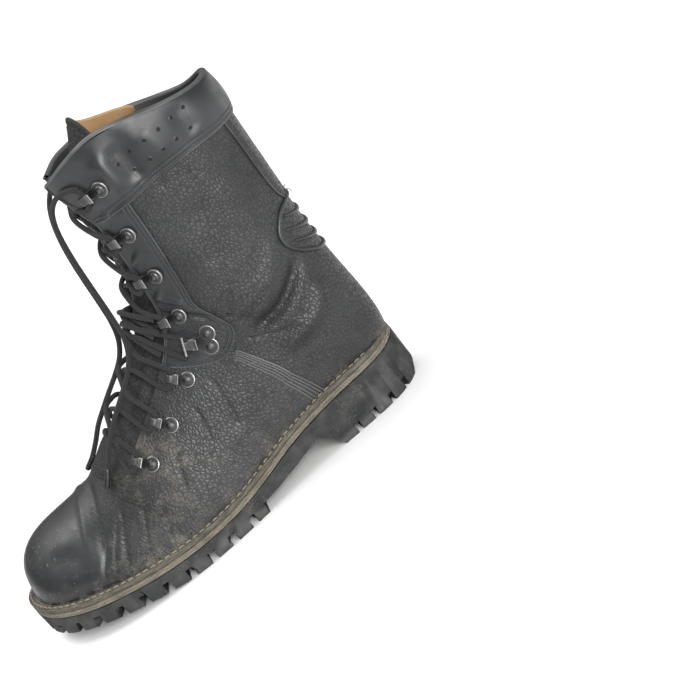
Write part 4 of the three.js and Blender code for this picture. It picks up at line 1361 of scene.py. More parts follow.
def punched_holes():
    dark, rims = [], []
    turn = np.linspace(0, 2 * np.pi, 12, endpoint=False)
    ring = np.stack([np.cos(turn), np.sin(turn), 0 * turn], 1)
    for way, side in SIDES.items():
        piece = bpy.data.objects[f"collar_band_{side}"]
        for place, angle in HOLES:
            axes = spot_frame(place, way * angle)
            start = above(place, way * angle, np.array(20.0))
            hit, spot, slope, _ = piece.ray_cast(Vector(to_frame(start)), Vector(-axes[2]))
            if not hit:
                continue
            base = np.array(spot) / MM + FOOTPRINT_MIDDLE
            slope = np.array(slope)
            x = axes[0] - slope * axes[0].dot(slope)
            x /= np.linalg.norm(x)
            axes = np.array([x, np.cross(slope, x), slope])
            points = np.vstack([base + (1.25 * ring + [0, 0, 0.1]) @ axes,
                                base + (0.4 * ring + [0, 0, 0.09]) @ axes])
            dark.append((points, [tuple(f) for f in grid_faces(2, 12, True)[:, ::-1]]
                         + [tuple(range(12, 24))]))
            rows = [base + (r * ring + [0, 0, h]) @ axes
                    for r, h in ((1.9, -0.05), (1.6, 0.14), (1.35, 0.2), (1.2, 0.08))]
            rims.append((np.vstack(rows), [tuple(f) for f in grid_faces(4, 12, True)[:, ::-1]]))
    settle(add_mesh("collar_hole_shade", *joined(dark), HOLE_SHADE, weld=0), "upper_leather")
    settle(add_mesh("collar_hole_rims", *joined(rims), SMOOTH_LEATHER, weld=0), "upper_leather")


punched_holes()
FLEX_OUTLINE = [(16.45, 180), (16.42, 161), (16.25, 143), (15.9, 131), (15.6, 127.5),
                (15.38, 133), (15.3, 150), (15.32, 164), (15.32, 180)]


def flex_joint():
    parts = []
    for way in (OUTER, INNER):
        p = smooth_line(np.array(FLEX_OUTLINE) * [20, 1], 120) / [20, 1]
        folds, _ = relief(p[:, 0], way * p[:, 1])
        line = above(p[:, 0], way * p[:, 1], folds + 0.7)
        parts.append(tube(line, 1.35, 10)[:2])
        parts += [tube(above(w, way * np.linspace(a, 180, 40),
                             relief(np.full(40, w), way * np.linspace(a, 180, 40))[0] + 0.2),
                       1.7 * np.sin(np.linspace(0.5, np.pi / 2, 40)), 10)[:2]
                  for w, a in ((16.13, 143), (15.85, 136), (15.58, 137))]
    points, faces = joined(parts)
    along = np.stack([points[:, 2], points[:, 1]], 1)
    piece = add_mesh("heel_flex_joint", points, faces, SMOOTH_LEATHER, along, weld=0)
    settle(piece, "upper_leather")


flex_joint()


def loose_threads():
    """Frayed ends where the backstay's seam stops above the flex joint."""
    wisps = [[(16.5, -166, 1.0), (16.58, -165, 2.2), (16.63, -164, 3.4), (16.62, -162, 4.2)],
             [(16.5, -168, 1.0), (16.53, -169, 2.0), (16.5, -171, 3.2), (16.44, -172, 3.9)],
             [(16.48, -164, 0.8), (16.44, -163, 1.6), (16.44, -161, 2.0), (16.48, -159, 2.3)]]
    parts = []
    for wisp in wisps:
        w = smooth_line(np.array(wisp) * [20, 1, 1], 24) / [20, 1, 1]
        parts.append(tube(above(w[:, 0], w[:, 1], w[:, 2]), 0.28, 6)[:2])
    settle(add_mesh("loose_threads", *joined(parts), DARK_THREAD, weld=0), "upper_leather")


loose_threads()

# %% [markdown]
# ## Edges of the throat and the collar, and the lining
# Leather and lining are folded together round a cord at the throat and the collar, so the rim
# is round and worn grey; the pale grey also serves as a painted highlight along the rim. The
# lining is black pigskin at the collar and turns tan lower down.

# %% Rims and lining
LINING_DARK = leather("collar lining", (0.012, 0.012, 0.012, 1), (0.03, 0.03, 0.03, 1), 1.2, 0.3,
                      0.5, 0.05)
LINING_TAN = leather("tan lining", (0.30, 0.17, 0.075, 1), (0.42, 0.27, 0.14, 1), 0.9, 0.25, 0.6,
                     0.15)


def rim(name, route, top, out_way, bulge, material):
    """A rounded strip from the outer surface to the lining along a (place, angle) line."""
    place, angle = route[:, 0], route[:, 1]
    folds, _ = relief(place, angle)
    turn = np.linspace(0, np.pi, 11)
    half = (top + WALL) / 2
    rows = []
    for t in turn:
        points = above(place, angle, folds + (top - WALL) / 2 + half * np.cos(t))
        rows.append(points + out_way * bulge * np.sin(t))
    grid = np.stack(rows, 1)
    run = run_along(grid[:, 5])
    uv = np.stack([np.repeat(run[:, None], 11, 1), np.tile(turn * half, (len(run), 1))], -1)
    faces = grid_faces(*grid.shape[:2])
    middle = len(grid) // 2
    normal = np.cross(grid[middle + 1, 5] - grid[middle, 5], grid[middle, 6] - grid[middle, 5])
    if normal @ np.broadcast_to(out_way, grid[:, 0].shape)[middle] < 0:
        faces = faces[:, ::-1]
    return add_mesh(name, grid.reshape(-1, 3), faces, material, uv.reshape(-1, 2), weld=0)


def towards_throat(place, angle, way):
    step = skin(place, angle - way * 0.5) - skin(place, angle + way * 0.5)
    return step / np.linalg.norm(step, axis=-1, keepdims=True)


for way, side in SIDES.items():
    w = np.linspace(10.1, 17.7, 260)
    route = np.stack([w, way * np.full_like(w, THROAT_EDGE + 0.9)], 1)
    settle(rim(f"throat_edge_{side}", route, 1.45, towards_throat(route[:, 0], route[:, 1], way),
               1.1, EDGE_WEAR_AND_HIGHLIGHT), "upper_leather")
    w = np.linspace(6.32, 10.4, 200)
    route = np.stack([w, way * np.maximum(throat_angle(w) + 0.6, 0.0)], 1)
    settle(rim(f"vamp_edge_{side}", route, 0.85, towards_throat(route[:, 0], route[:, 1], way),
               0.9, EDGE_WEAR_AND_HIGHLIGHT), "upper_leather")
    w = np.linspace(17.4, float(top_place(way * 20.0)[0]), 90)
    route = np.stack([w, way * (throat_closing(w) + 0.8)], 1)
    settle(rim(f"collar_front_{side}", route, 2.4, towards_throat(route[:, 0], route[:, 1], way),
               1.3, EDGE_WEAR_AND_HIGHLIGHT), "upper_leather")


def collar_rim():
    angle = np.linspace(20.5, 339.5, 420)
    angle = np.where(angle > 180, angle - 360, angle)
    place = np.concatenate([top_place(a) for a in angle])
    up = np.array([0, 0, 1.0])
    piece = rim("collar_rim", np.stack([place, angle], 1), 2.1, up, 2.2, EDGE_WEAR_AND_HIGHLIGHT)
    return settle(piece, "upper_leather")


collar_rim()


def lining(name, low, high, material):
    parts, uvs = [], []
    for way in (OUTER, INNER):
        share = np.linspace(0, 1, 90)[:, None]
        around = np.linspace(0, 1, 110)[None]
        start = throat_closing(low + (min(high, 18.7) - low) * share) + 0.8
        turn = start + (180 - start) * around
        top = np.interp(turn, np.linspace(15, 180, 60), top_place(np.linspace(15, 180, 60) * way))
        top = np.minimum(top, high)
        place = low + (top - low) * share
        folds, _ = relief(place, way * turn)
        points = above(place, way * turn, folds - WALL)
        points[..., 2] = np.maximum(points[..., 2], welt_top(points[..., 0]) + 1.5)
        faces = grid_faces(*place.shape)
        parts.append((points.reshape(-1, 3), faces[:, ::-1] if way > 0 else faces))
        uvs.append(np.stack([points[..., 2], way * turn], -1).reshape(-1, 2))
    return settle(add_mesh(name, *joined(parts), material, np.vstack(uvs)), "upper_leather")


lining("lining_collar", 17.3, 30, LINING_DARK)
lining("lining_shaft", 6.6, 17.3, LINING_TAN)

# %% [markdown]
# ## Tongue
# The bellows tongue is sewn on at the end of the throat as a rounded apron, lies soft and
# puffed under the laces, and leans back into the shaft at the top, where its free end stands
# above the collar. Its outside is black pebbled leather and its inside is tan lining.

# %% Tongue
TONGUE_ROOT = 6.24
TONGUE_TOP = 19.5
TONGUE_HALF = np.array([(6.24, 1.5), (6.3, 13), (6.45, 24), (6.65, 32), (6.9, 38.5), (7.2, 41.5),
                        (7.6, 41), (8.2, 43), (10, 48), (13, 52), (19.5, 52)])


def tongue_surface(u, v):
    """Outer side of the tongue: u runs from the sewn end to the free end, v across."""
    across = 2 * v - 1
    place = TONGUE_ROOT + (TONGUE_TOP - 1.0 * np.abs(across) ** 3.2 - TONGUE_ROOT) * u
    half = np.interp(place, TONGUE_HALF[:, 0], TONGUE_HALF[:, 1])
    height = 1.7 - 5.2 * smoothstep(place, 6.9, 8.2)
    under = smoothstep(place, 8, 9) * smoothstep(-place, -17, -16)
    soft = 3.8 * smoothstep(-place, -12.4, -11.2) - 2.4 * smoothstep(place, 11.6, 13.5)
    puff = soft * np.cos(np.pi * across / 2) ** 2 * under * (0.8 + 0.2 * np.sin(5.2 * place))
    gusset = 1.3 * under * np.exp(-((np.abs(across) - 0.55 - 0.05 * np.sin(3 * place)) / 0.1) ** 2)
    fold = 0.5 * np.sin(7.5 * place + 2 * across) * under * np.abs(across) ** 2
    lean = smoothstep(place, 16.6, 20.4)
    wave = 1.2 * lean * np.sin(2.6 * across + 0.8)
    point = above(place, across * half, height - 0.6 * lean + puff + gusset + fold + wave)
    near_wing = np.exp(-(((across + 0.4) / 0.5) ** 2)) * lean
    far_wing = np.exp(-(((across - 0.75) / 0.5) ** 2)) * lean
    point[..., 0] += 41 * lean - 2 * near_wing + 42 * far_wing
    point[..., 1] = point[..., 1] * (1 - 0.16 * lean) - 3 * near_wing
    point[..., 2] += 13 * near_wing - 10 * far_wing
    return point


def tongue():
    u = np.concatenate([np.linspace(0, 0.012, 6)[:-1], np.linspace(0.012, 0.988, 190),
                        np.linspace(0.988, 1, 8)[1:]])
    v = np.concatenate([np.linspace(0, 0.02, 6)[:-1], np.linspace(0.02, 0.98, 60),
                        np.linspace(0.98, 1, 6)[1:]])
    grid = tongue_surface(u[:, None], v[None])
    normal = np.cross(np.gradient(grid, axis=0), np.gradient(grid, axis=1))
    normal /= np.maximum(np.linalg.norm(normal, axis=2, keepdims=True), 1e-9)
    run = run_along(grid[:, 33])
    wide = np.linalg.norm(grid[:, 0] - grid[:, -1], axis=1)[:, None]
    edge = np.minimum(np.minimum(v, 1 - v)[None] * wide, (run[-1] - run)[:, None])
    edge = np.minimum(edge, run[:, None] + 0.02)
    share = np.sqrt(np.clip(1 - (1 - np.clip(edge / 1.3, 0, 1)) ** 2, 0, 1))[..., None]
    outer = grid - normal * 1.2 * (1 - share)
    inner = grid - normal * (1.2 + 1.2 * share)
    uv = np.stack([np.repeat(run[:, None], len(v), 1), (v[None] - 0.5) * wide], -1)
    seam_groove = np.exp(-((edge - 4) / 0.6) ** 2)
    outer = outer - normal * 0.5 * seam_groove[..., None]
    faces = grid_faces(*grid.shape[:2])
    dust = 0.12 * smoothstep(-run, -120, -20)[:, None] + 0 * v[None]
    masks = {"grain": 0 * dust + 1, "mud": dust, "scuff": 0 * dust + 0.1,
             "crease": 0 * dust + 0.4}
    piece = add_mesh("tongue_face", outer.reshape(-1, 3), faces, TONGUE_LEATHER,
                     uv.reshape(-1, 2), weld=0, masks={k: m.ravel() for k, m in masks.items()})
    settle(piece, "tongue_leather", "tongue")
    back = add_mesh("tongue_lining", inner.reshape(-1, 3), faces[:, ::-1], LINING_TAN,
                    uv.reshape(-1, 2), weld=0)
    settle(back, "tongue_leather")
    parts = []
    inside = [np.stack([np.interp(4, row_edge, row[:, k]) for k in range(3)])
              for row, row_edge in zip(outer[8:-12, :33], edge[8:-12, :33])]
    inside = np.array(inside)
    across = [np.stack([np.interp(4, row_edge, row[:, k]) for k in range(3)])
              for row, row_edge in zip(outer[8:-12, :32:-1], edge[8:-12, :32:-1])]
    for line in (inside, np.array(across)):
        parts += stitches_along(line, np.tile([-0.6, 0, 0.8], (len(line), 1)), 2.8, 2.2, 0.32)
    settle(add_mesh("tongue_threads", *joined(parts), DARK_THREAD, weld=0), "tongue_leather")


tongue()

# %% [markdown]
# ## Hooks
# Each speed hook is stamped from steel sheet: a round foot under a domed rivet, a strip that
# bends over at the throat side, and a prong that comes back and flares at its lip. The black
# finish has worn to bright steel on the bend, the lip and the rivet. The hook at the ankle is
# larger and held by two rivets.

# %% Hooks
def hook_metal():
    material, tree, shader = new_material("black hook steel")
    worn = mask_of(tree, "worn")
    cloud = node(tree, "ShaderNodeTexNoise", {"Scale": 900.0, "Detail": 3.0})
    edge = times(tree, worn, remap(tree, cloud.outputs[0], 0.3, 0.62))
    shade = blend(tree, edge, (0.032, 0.033, 0.035, 1), (0.50, 0.50, 0.48, 1))
    tree.links.new(shade, shader.inputs["Base Color"])
    shader.inputs["Metallic"].default_value = 0.9
    rough = remap(tree, edge, 0, 1, 0.42, 0.24)
    tree.links.new(rough, shader.inputs["Roughness"])
    bump(tree, shader, cloud.outputs[0], 0.00003)
    return material


HOOK_METAL = hook_metal()
METAL = 1.1
CHANNEL = 6.1
SHAFT_HOOK = {"reach": 15, "width": 8.4, "plate": 5.4, "rivets": [(0, 0)]}
VAMP_HOOK = {"reach": 13.5, "width": 8, "plate": 5.4, "rivets": [(0, 0)]}
LOCK_HOOK = {"reach": 18, "width": 9, "plate": 5.6, "rivets": [(-0.5, 4.4), (-0.5, -4.4)]}
HOOK_LIFT = {"shaft_hook_1": 2.6, "vamp_hook_1": 1.1, "vamp_hook_2": 1.1, "vamp_hook_3": 1.1}
HOOKS = [
    ("shaft_hook_1", SHAFT_HOOK, (18.05, 61), (17.9, 43)),
    ("shaft_hook_2", SHAFT_HOOK, (16.45, 55.5), (16.1, 36)),
    ("shaft_hook_3", SHAFT_HOOK, (14.65, 53), (14, 33)),
    ("shaft_hook_4", SHAFT_HOOK, (12.6, 51.5), (11.8, 35)),
    ("lock_hook", LOCK_HOOK, (11.75, 62.5), (11.1, 47)),
    ("vamp_hook_1", VAMP_HOOK, (10.1, 54.5), (9.8, 41)),
    ("vamp_hook_2", VAMP_HOOK, (8.8, 53.5), (8.55, 40)),
    ("vamp_hook_3", VAMP_HOOK, (7.75, 52), (7.45, 39)),
]


def lathe(profile, worn, x=0.0, y=0.0, sides=24):
    """A turned piece from (radius, height, wear) points, top first."""
    turn = np.linspace(0, 2 * np.pi, sides, endpoint=False)
    rows = [np.stack([x + r * np.cos(turn), y + r * np.sin(turn), h + 0 * turn], 1)
            for r, h in profile]
    faces = [tuple(f) for f in grid_faces(len(rows), sides, True)]
    faces.append(tuple(range(sides)))
    return np.vstack(rows), faces, np.repeat(worn, sides)


def strip(reach, width):
    """The bent strip with its prong, as a swept flat bar with round edges."""
    bend = CHANNEL / 2
    straight = reach - bend
    lip = reach * 0.46
    turn = np.linspace(-np.pi / 2, np.pi / 2, 12)
    r = bend - METAL / 2
    path = [(x, METAL / 2) for x in np.linspace(-1, straight, 6)[:-1]]
    path += [(straight + r * np.cos(t), bend + r * np.sin(t)) for t in turn]
    top = CHANNEL - METAL / 2
    path += [(x, top - 0.5 * np.sin(np.pi * (straight - x) / (straight - lip)))
             for x in np.linspace(straight, lip, 7)[1:]]
    path += [(lip - 0.9, top + 0.5), (lip - 1.5, top + 1.3)]
    path = np.array(path)
    run = run_along(path)
    share = run / run[-1]
    wide = width * np.interp(share, [0, 0.25, 0.4, 0.5, 0.62, 0.78, 0.92, 1],
                             [1.0, 0.86, 0.72, 0.72, 0.62, 0.60, 0.86, 0.80])
    thick = METAL * np.interp(share, [0, 0.9, 1], [1, 1, 0.6])
    worn = np.interp(share, [0, 0.28, 0.42, 0.55, 0.8, 0.9, 1], [0, 0.1, 0.85, 0.5, 0.3, 1, 1])
    way = np.gradient(path, axis=0)
    way /= np.linalg.norm(way, axis=1)[:, None]
    around = np.linspace(0, 2 * np.pi, 20, endpoint=False)
    c = np.sign(np.cos(around)) * np.abs(np.cos(around)) ** 0.35
    s = np.sign(np.sin(around)) * np.abs(np.sin(around)) ** 0.6
    rows, wear = [], []
    for p, t, w, h, m in zip(path, way, wide, thick, worn):
        out = np.array([-t[1], t[0]])
        flat = p + np.outer(s * h / 2, out)
        rows.append(np.stack([flat[:, 0], c * w / 2, flat[:, 1]], 1))
        wear.append(np.clip(m * (0.35 + 0.65 * np.abs(c) ** 6), 0, 1))
    faces = [tuple(f[::-1]) for f in grid_faces(len(rows), 20, True)]
    faces.append(tuple(range(20)))
    faces.append(tuple(range(len(rows) * 20 - 20, len(rows) * 20))[::-1])
    return np.vstack(rows), faces, np.concatenate(wear)


def hook_shape(reach, width, plate, rivets):
    parts = [strip(reach, width)]
    for x, y in rivets:
        p = plate
        foot = [(0.1, METAL), (p - 0.9, METAL), (p - 0.35, METAL - 0.1), (p, METAL * 0.6), (p, -0.9)]
        parts.append(lathe(foot, [0.05, 0.12, 0.9, 0.7, 0.1], x, y, 32))
        dome = [(0.05, 2.45), (0.9, 2.4), (1.8, 2.15), (2.5, 1.75), (2.9, 1.3), (3.0, 1.0)]
        parts.append(lathe(dome, [0.4, 0.25, 0.1, 0.1, 0.6, 0.2], x, y, 24))
    if len(rivets) > 1:
        bar = np.stack([np.full(12, reach - 2.6), np.linspace(-6.4, 6.4, 12),
                        np.full(12, CHANNEL - 0.5)], 1)
        points, faces, _ = tube(bar, 0.95, 10)
        parts.append((points, faces, np.full(len(points), 0.9)))
    points, faces = joined([part[:2] for part in parts])
    return points, faces, np.concatenate([part[2] for part in parts])


def hook_axes(name, rivet, bend, way):
    foot = skin(rivet[0], rivet[1] * way)
    front = skin(bend[0], bend[1] * way)
    middle_place, middle_angle = (rivet[0] + bend[0]) / 2, (rivet[1] + bend[1]) / 2 * way
    normal = skin_normal(middle_place, middle_angle)
    x = front - foot
    x -= normal * x.dot(normal)
    x /= np.linalg.norm(x)
    lift = (skin(middle_place, middle_angle) - foot) @ normal + 0.7
    lift += HOOK_LIFT.get(name, 1.6) - 0.6
    return foot + normal * lift, np.array([x, np.cross(normal, x), normal])


for name, form, rivet, bend in HOOKS:
    shape, faces, worn = hook_shape(**form)
    for way, side in SIDES.items():
        origin, axes = hook_axes(name, rivet, bend, way)
        piece = add_mesh(f"{name}_{side}_steel", origin + shape @ axes, faces, HOOK_METAL, weld=0,
                         masks={"worn": worn}, keep_flat=50)
        settle(piece, "hook_metal", f"{name}_{side}")

# %% [markdown]
# ## The laced run
# One lace runs from the bar at the lowest hooks up to both top hooks, crossing over the
# tongue between each pair. At every hook it turns round inside the channel under the prong.
# Near the ankle it makes spare turns, as a wearer winds up a long lace. Both strands end
# where the free ends begin.

# %% Lace through the hooks
def through_hook(index, way, rising=True):
    """Points of the lace round the inside of a hook, from below it to above it."""
    name, form, rivet, bend = HOOKS[index]
    origin, axes = hook_axes(name, rivet, bend, way)
    reach = form["reach"]
    half = form["width"] / 2
    points = np.array([(reach + 2.2, -half - 2.6, 1.6), (reach - 2.4, -half - 0.6, 2.8),
                       (reach - 4.2, 0, 2.95), (reach - 2.4, half + 0.6, 2.8),
                       (reach + 2.2, half + 2.6, 1.6)])
    points = origin + points @ axes
    up = skin(bend[0] + 0.2, bend[1] * way) - skin(bend[0] - 0.2, bend[1] * way)
    if (axes[1] @ up > 0) != rising:
        points = points[::-1]
    return points


def over_tongue(index, share, angle, over):
    """A point of a strand between two rows of hooks, resting on the tongue."""
    place = HOOKS[index][3][0] * (1 - share) + HOOKS[index - 1][3][0] * share
    rest = 1.9 - 5.9 * smoothstep(place, 11.2, 13)
    lift = 3.3 * np.cos(np.radians(3 * angle)) ** 2 if over else 0
    bow = 34 * (1 - np.cos(np.radians(angle)))
    return above(place, angle, np.array(rest + lift + bow))


def strand(way):
    """From the middle of the lowest bar up to the top hook on the other side."""
    last = len(HOOKS) - 1
    route = [above(HOOKS[last][3][0] - 0.1, 0.0, np.array(1.0))]
    side = way
    for index in range(last, -1, -1):
        turn = through_hook(index, side)
        route += list(turn if index else turn[:3])
        if index:
            over = (index % 2 == 0) == (way > 0)
            for share, angle in ((0.2, 24), (0.36, 11), (0.5, 0), (0.64, -11), (0.8, -24)):
                route.append(over_tongue(index, share, angle * side, over))
            side = -side
    return route, side


def lace_run():
    one, side_one = strand(OUTER)
    two, side_two = strand(INNER)
    ends = {OUTER: np.array(LATERAL_END[0]), INNER: np.array(MEDIAL_END[0])}
    one.append(ends[side_one])
    two.append(ends[side_two])
    route = np.array(two[::-1] + one[1:])
    line = smooth_line(route, 1500)
    parts = [tube(line, LACE / 2, 10)]
    spare = (((11.1, -33, 3.2), (11.45, -8, 5.2), (11.75, 18, 5.0), (11.9, 37, 3.6)),
             ((11.45, -37, 4.6), (11.2, -10, 6.4), (11.0, 14, 5.8), (10.7, 36, 3.4)),
             ((12.1, -36, 4.4), (11.95, -12, 6.6), (11.6, 12, 6.6), (11.3, 38, 4.2)),
             ((10.5, -38, 3.4), (10.75, -10, 4.6), (10.95, 16, 5.0), (11.15, 38, 4.0)))
    for turns in spare:
        p = smooth_line(np.array(turns) * [20, 1, 1], 60) / [20, 1, 1]
        parts.append(tube(above(p[:, 0], p[:, 1], p[:, 2]), LACE / 2, 10))
    points, faces = joined([part[:2] for part in parts])
    piece = add_mesh("lace_run", points, faces, LACE_CORD, np.vstack([t[2] for t in parts]),
                     weld=0)
    nodes = [f"lace_crossing_{k}" for k in range(1, 8)] + ["lace_bar"]
    settle(piece, "lace_cord", *nodes)
    print(f"the laced run is {length_of(line):.0f} mm long")


lace_run()

# %% [markdown]
# ## Welt and midsole
# The welt is a strip of leather stitched to the upper, and the midsole is a layer of board
# under it. Both are trimmed to the sole's outline together. The strip is swept round the
# outline, a little uneven as a trimmed edge is, with patches of dust and dry mud on both.

# %% The sole's outline
SOLE_EDGE = [
    (156, 0), (153, -13), (143, -27), (125, -36), (95, -40.5), (60, -44), (25, -50.5),
    (-10, -58), (-46, -61.5), (-80, -59), (-112, -51), (-136, -36.5), (-150.5, -17), (-156, 6),
    (-150.5, 28), (-136, 45), (-112, 55), (-80, 58), (-46, 55.5), (-10, 47), (25, 40),
    (60, 37.5), (95, 38), (125, 35.5), (143, 27), (153, 13),
]
EDGE = smooth_line(SOLE_EDGE, 961, closed=True)[:-1]
EDGE_WAY = np.roll(EDGE, -1, 0) - np.roll(EDGE, 1, 0)
EDGE_WAY /= np.linalg.norm(EDGE_WAY, axis=1)[:, None]
EDGE_IN = np.stack([EDGE_WAY[:, 1], -EDGE_WAY[:, 0]], 1)
if EDGE_IN[0, 0] > 0:
    EDGE_IN = -EDGE_IN
EDGE_RUN = run_along(EDGE)


def wobble(scale, seed):
    """A slow unevenness round the sole, the same each time for a seed."""
    rng = np.random.default_rng(seed)
    turn = np.linspace(0, 2 * np.pi, len(EDGE), endpoint=False)
    waves = [rng.normal() / k ** 0.7 * np.sin(k * turn + rng.uniform(0, 6.28))
             for k in (9, 14, 23, 31, 47, 66, 90)]
    return scale * np.sum(waves, axis=0)


def sole_strip(name, profile, material, slot, nodes, uneven=0.12, seed=1):
    """Sweeps a profile of (inset, height from the welt's top) round the outline."""
    rows = []
    for k, (inset, height) in enumerate(profile):
        shift = inset + wobble(uneven, seed + k // 2)
        plan = EDGE + EDGE_IN * shift[:, None]
        z = welt_top(plan[:, 0]) + height + wobble(uneven * 0.5, seed + 40 + k // 2)
        rows.append(np.column_stack([plan, z]))
    grid = np.stack(rows, 0)
    steps = run_along(np.array(profile))
    uv = np.stack([np.tile(EDGE_RUN, (len(profile), 1)), np.repeat(steps[:, None], len(EDGE), 1)],
                  -1)
    faces = grid_faces(len(profile), len(EDGE), closed=True)
    outwards = np.cross(grid[1, 0] - grid[0, 0], grid[0, 1] - grid[0, 0])
    if outwards[:2] @ EDGE_IN[0] > 0:
        faces = faces[:, ::-1]
    piece = add_mesh(name, grid.reshape(-1, 3), faces, material, uv.reshape(-1, 2), weld=0)
    return settle(piece, slot, *nodes)


# %% Welt and midsole
def strip_finish(name, base, pale, dust):
    """Trimmed leather or board: long fibres along the edge, soil and dry mud on it."""
    material, tree, shader = new_material(name)
    where = node(tree, "ShaderNodeUVMap", uv_map="UVMap")
    stretched = node(tree, "ShaderNodeMapping", {"Vector": where.outputs[0],
                                                 "Scale": (0.10, 1.4, 1.0)})
    fibre = noise_over(tree, stretched.outputs[0], 1.0, 5.0)
    patches = node(tree, "ShaderNodeTexNoise", {"Scale": 38.0, "Detail": 4.0})
    mud = place_group(tree, DUST, Amount=dust, Patch_Size=26.0, Crumb=1.0)
    tone = plus(tree, times(tree, fibre.outputs[0], 0.6), times(tree, patches.outputs[0], 0.6))
    shade = blend(tree, remap(tree, tone, 0.42, 0.82), base, pale)
    shade = blend(tree, mud.outputs["Mask"], shade, mud.outputs["Colour"])
    tree.links.new(shade, shader.inputs["Base Color"])
    shader.inputs["Roughness"].default_value = 0.82
    height = plus(tree, fibre.outputs[0], mud.outputs["Height"])
    bump(tree, shader, height, 0.0004)
    return material


WELT_FINISH = strip_finish("soiled welt leather", (0.020, 0.019, 0.016, 1),
                           (0.12, 0.108, 0.082, 1), 0.30)
BOARD_FINISH = strip_finish("midsole board", (0.055, 0.048, 0.038, 1), (0.22, 0.185, 0.135, 1),
                            0.42)
WELT_PROFILE = [(4.0, -3.4), (1.5, -3.5), (1.0, -3.3), (0.75, -2.6), (0.7, -1.2), (0.95, -0.5),
                (1.5, -0.1), (2.3, 0.0), (2.9, -0.1), (3.25, -0.55), (3.6, -0.1), (4.4, 0.1),
                (6.0, 0.25), (9.0, 0.4), (12.5, 0.3)]
BOARD_PROFILE = [(4.0, -7.6), (0.6, -7.5), (0.3, -7.1), (0.35, -6.2), (0.75, -5.85), (0.4, -5.5),
                 (0.4, -4.5), (0.7, -3.95), (4.0, -3.8)]
sole_strip("welt_strip", WELT_PROFILE, WELT_FINISH, "welt_strip", ["welt"], seed=3)
sole_strip("midsole_board", BOARD_PROFILE, BOARD_FINISH, "midsole_board", ["midsole"], seed=11)


def welt_threads():
    line = EDGE + EDGE_IN * 3.25
    line = np.column_stack([line, welt_top(line[:, 0]) - 0.15])
    up = np.tile([0, 0, 1.0], (len(line), 1))
    parts = stitches_along(line, up, 5.6, 4.9, 0.62)
    settle(add_mesh("welt_threads", *joined(parts), WELT_THREAD, weld=0), "welt_strip")


welt_threads()

# %% [markdown]
# ## Outsole
# The rubber sole is moulded in one piece with its tread. Its shape is taken from the fixed
# model: flat facets are joined, long wall edges are divided and laid onto the true outline,
# and every sharp corner gets the small radius of a moulded and worn lug.

# %% Outsole
def nearest_edge(points):
    """Index of the outline point nearest to each point in plan, and its distance inwards."""
    gap = points[:, None, :2] - EDGE[None]
    nearest = (gap ** 2).sum(2).argmin(1)
    inward = ((points[:, :2] - EDGE[nearest]) * EDGE_IN[nearest]).sum(1)
    return nearest, inward


def rubber_finish():
    """Black rubber, grey with dust, with mud packed into its hollows and grooves."""
    material, tree, shader = new_material("black rubber")
    deep = mask_of(tree, "deep")
    where = node(tree, "ShaderNodeTexCoord")
    cloud = noise_over(tree, where.outputs["Object"], 90.0, 6.0)
    pits = noise_over(tree, where.outputs["Object"], 900.0, 2.0)
    amount = plus(tree, 0.12, times(tree, deep, 0.5))
    mud = place_group(tree, DUST, Patch_Size=14.0, Crumb=1.0)
    tree.links.new(amount, mud.inputs["Amount"])
    shade = blend(tree, remap(tree, cloud.outputs[0], 0.4, 0.75), (0.012, 0.013, 0.013, 1),
                  (0.040, 0.041, 0.039, 1))
    shade = blend(tree, mud.outputs["Mask"], shade, mud.outputs["Colour"])
    tree.links.new(shade, shader.inputs["Base Color"])
    tree.links.new(remap(tree, cloud.outputs[0], 0.3, 0.7, 0.5, 0.72), shader.inputs["Roughness"])
    height = plus(tree, times(tree, pits.outputs[0], 0.25),
                  plus(tree, cloud.outputs[0], mud.outputs["Height"]))
    bump(tree, shader, height, 0.0004)
    return material


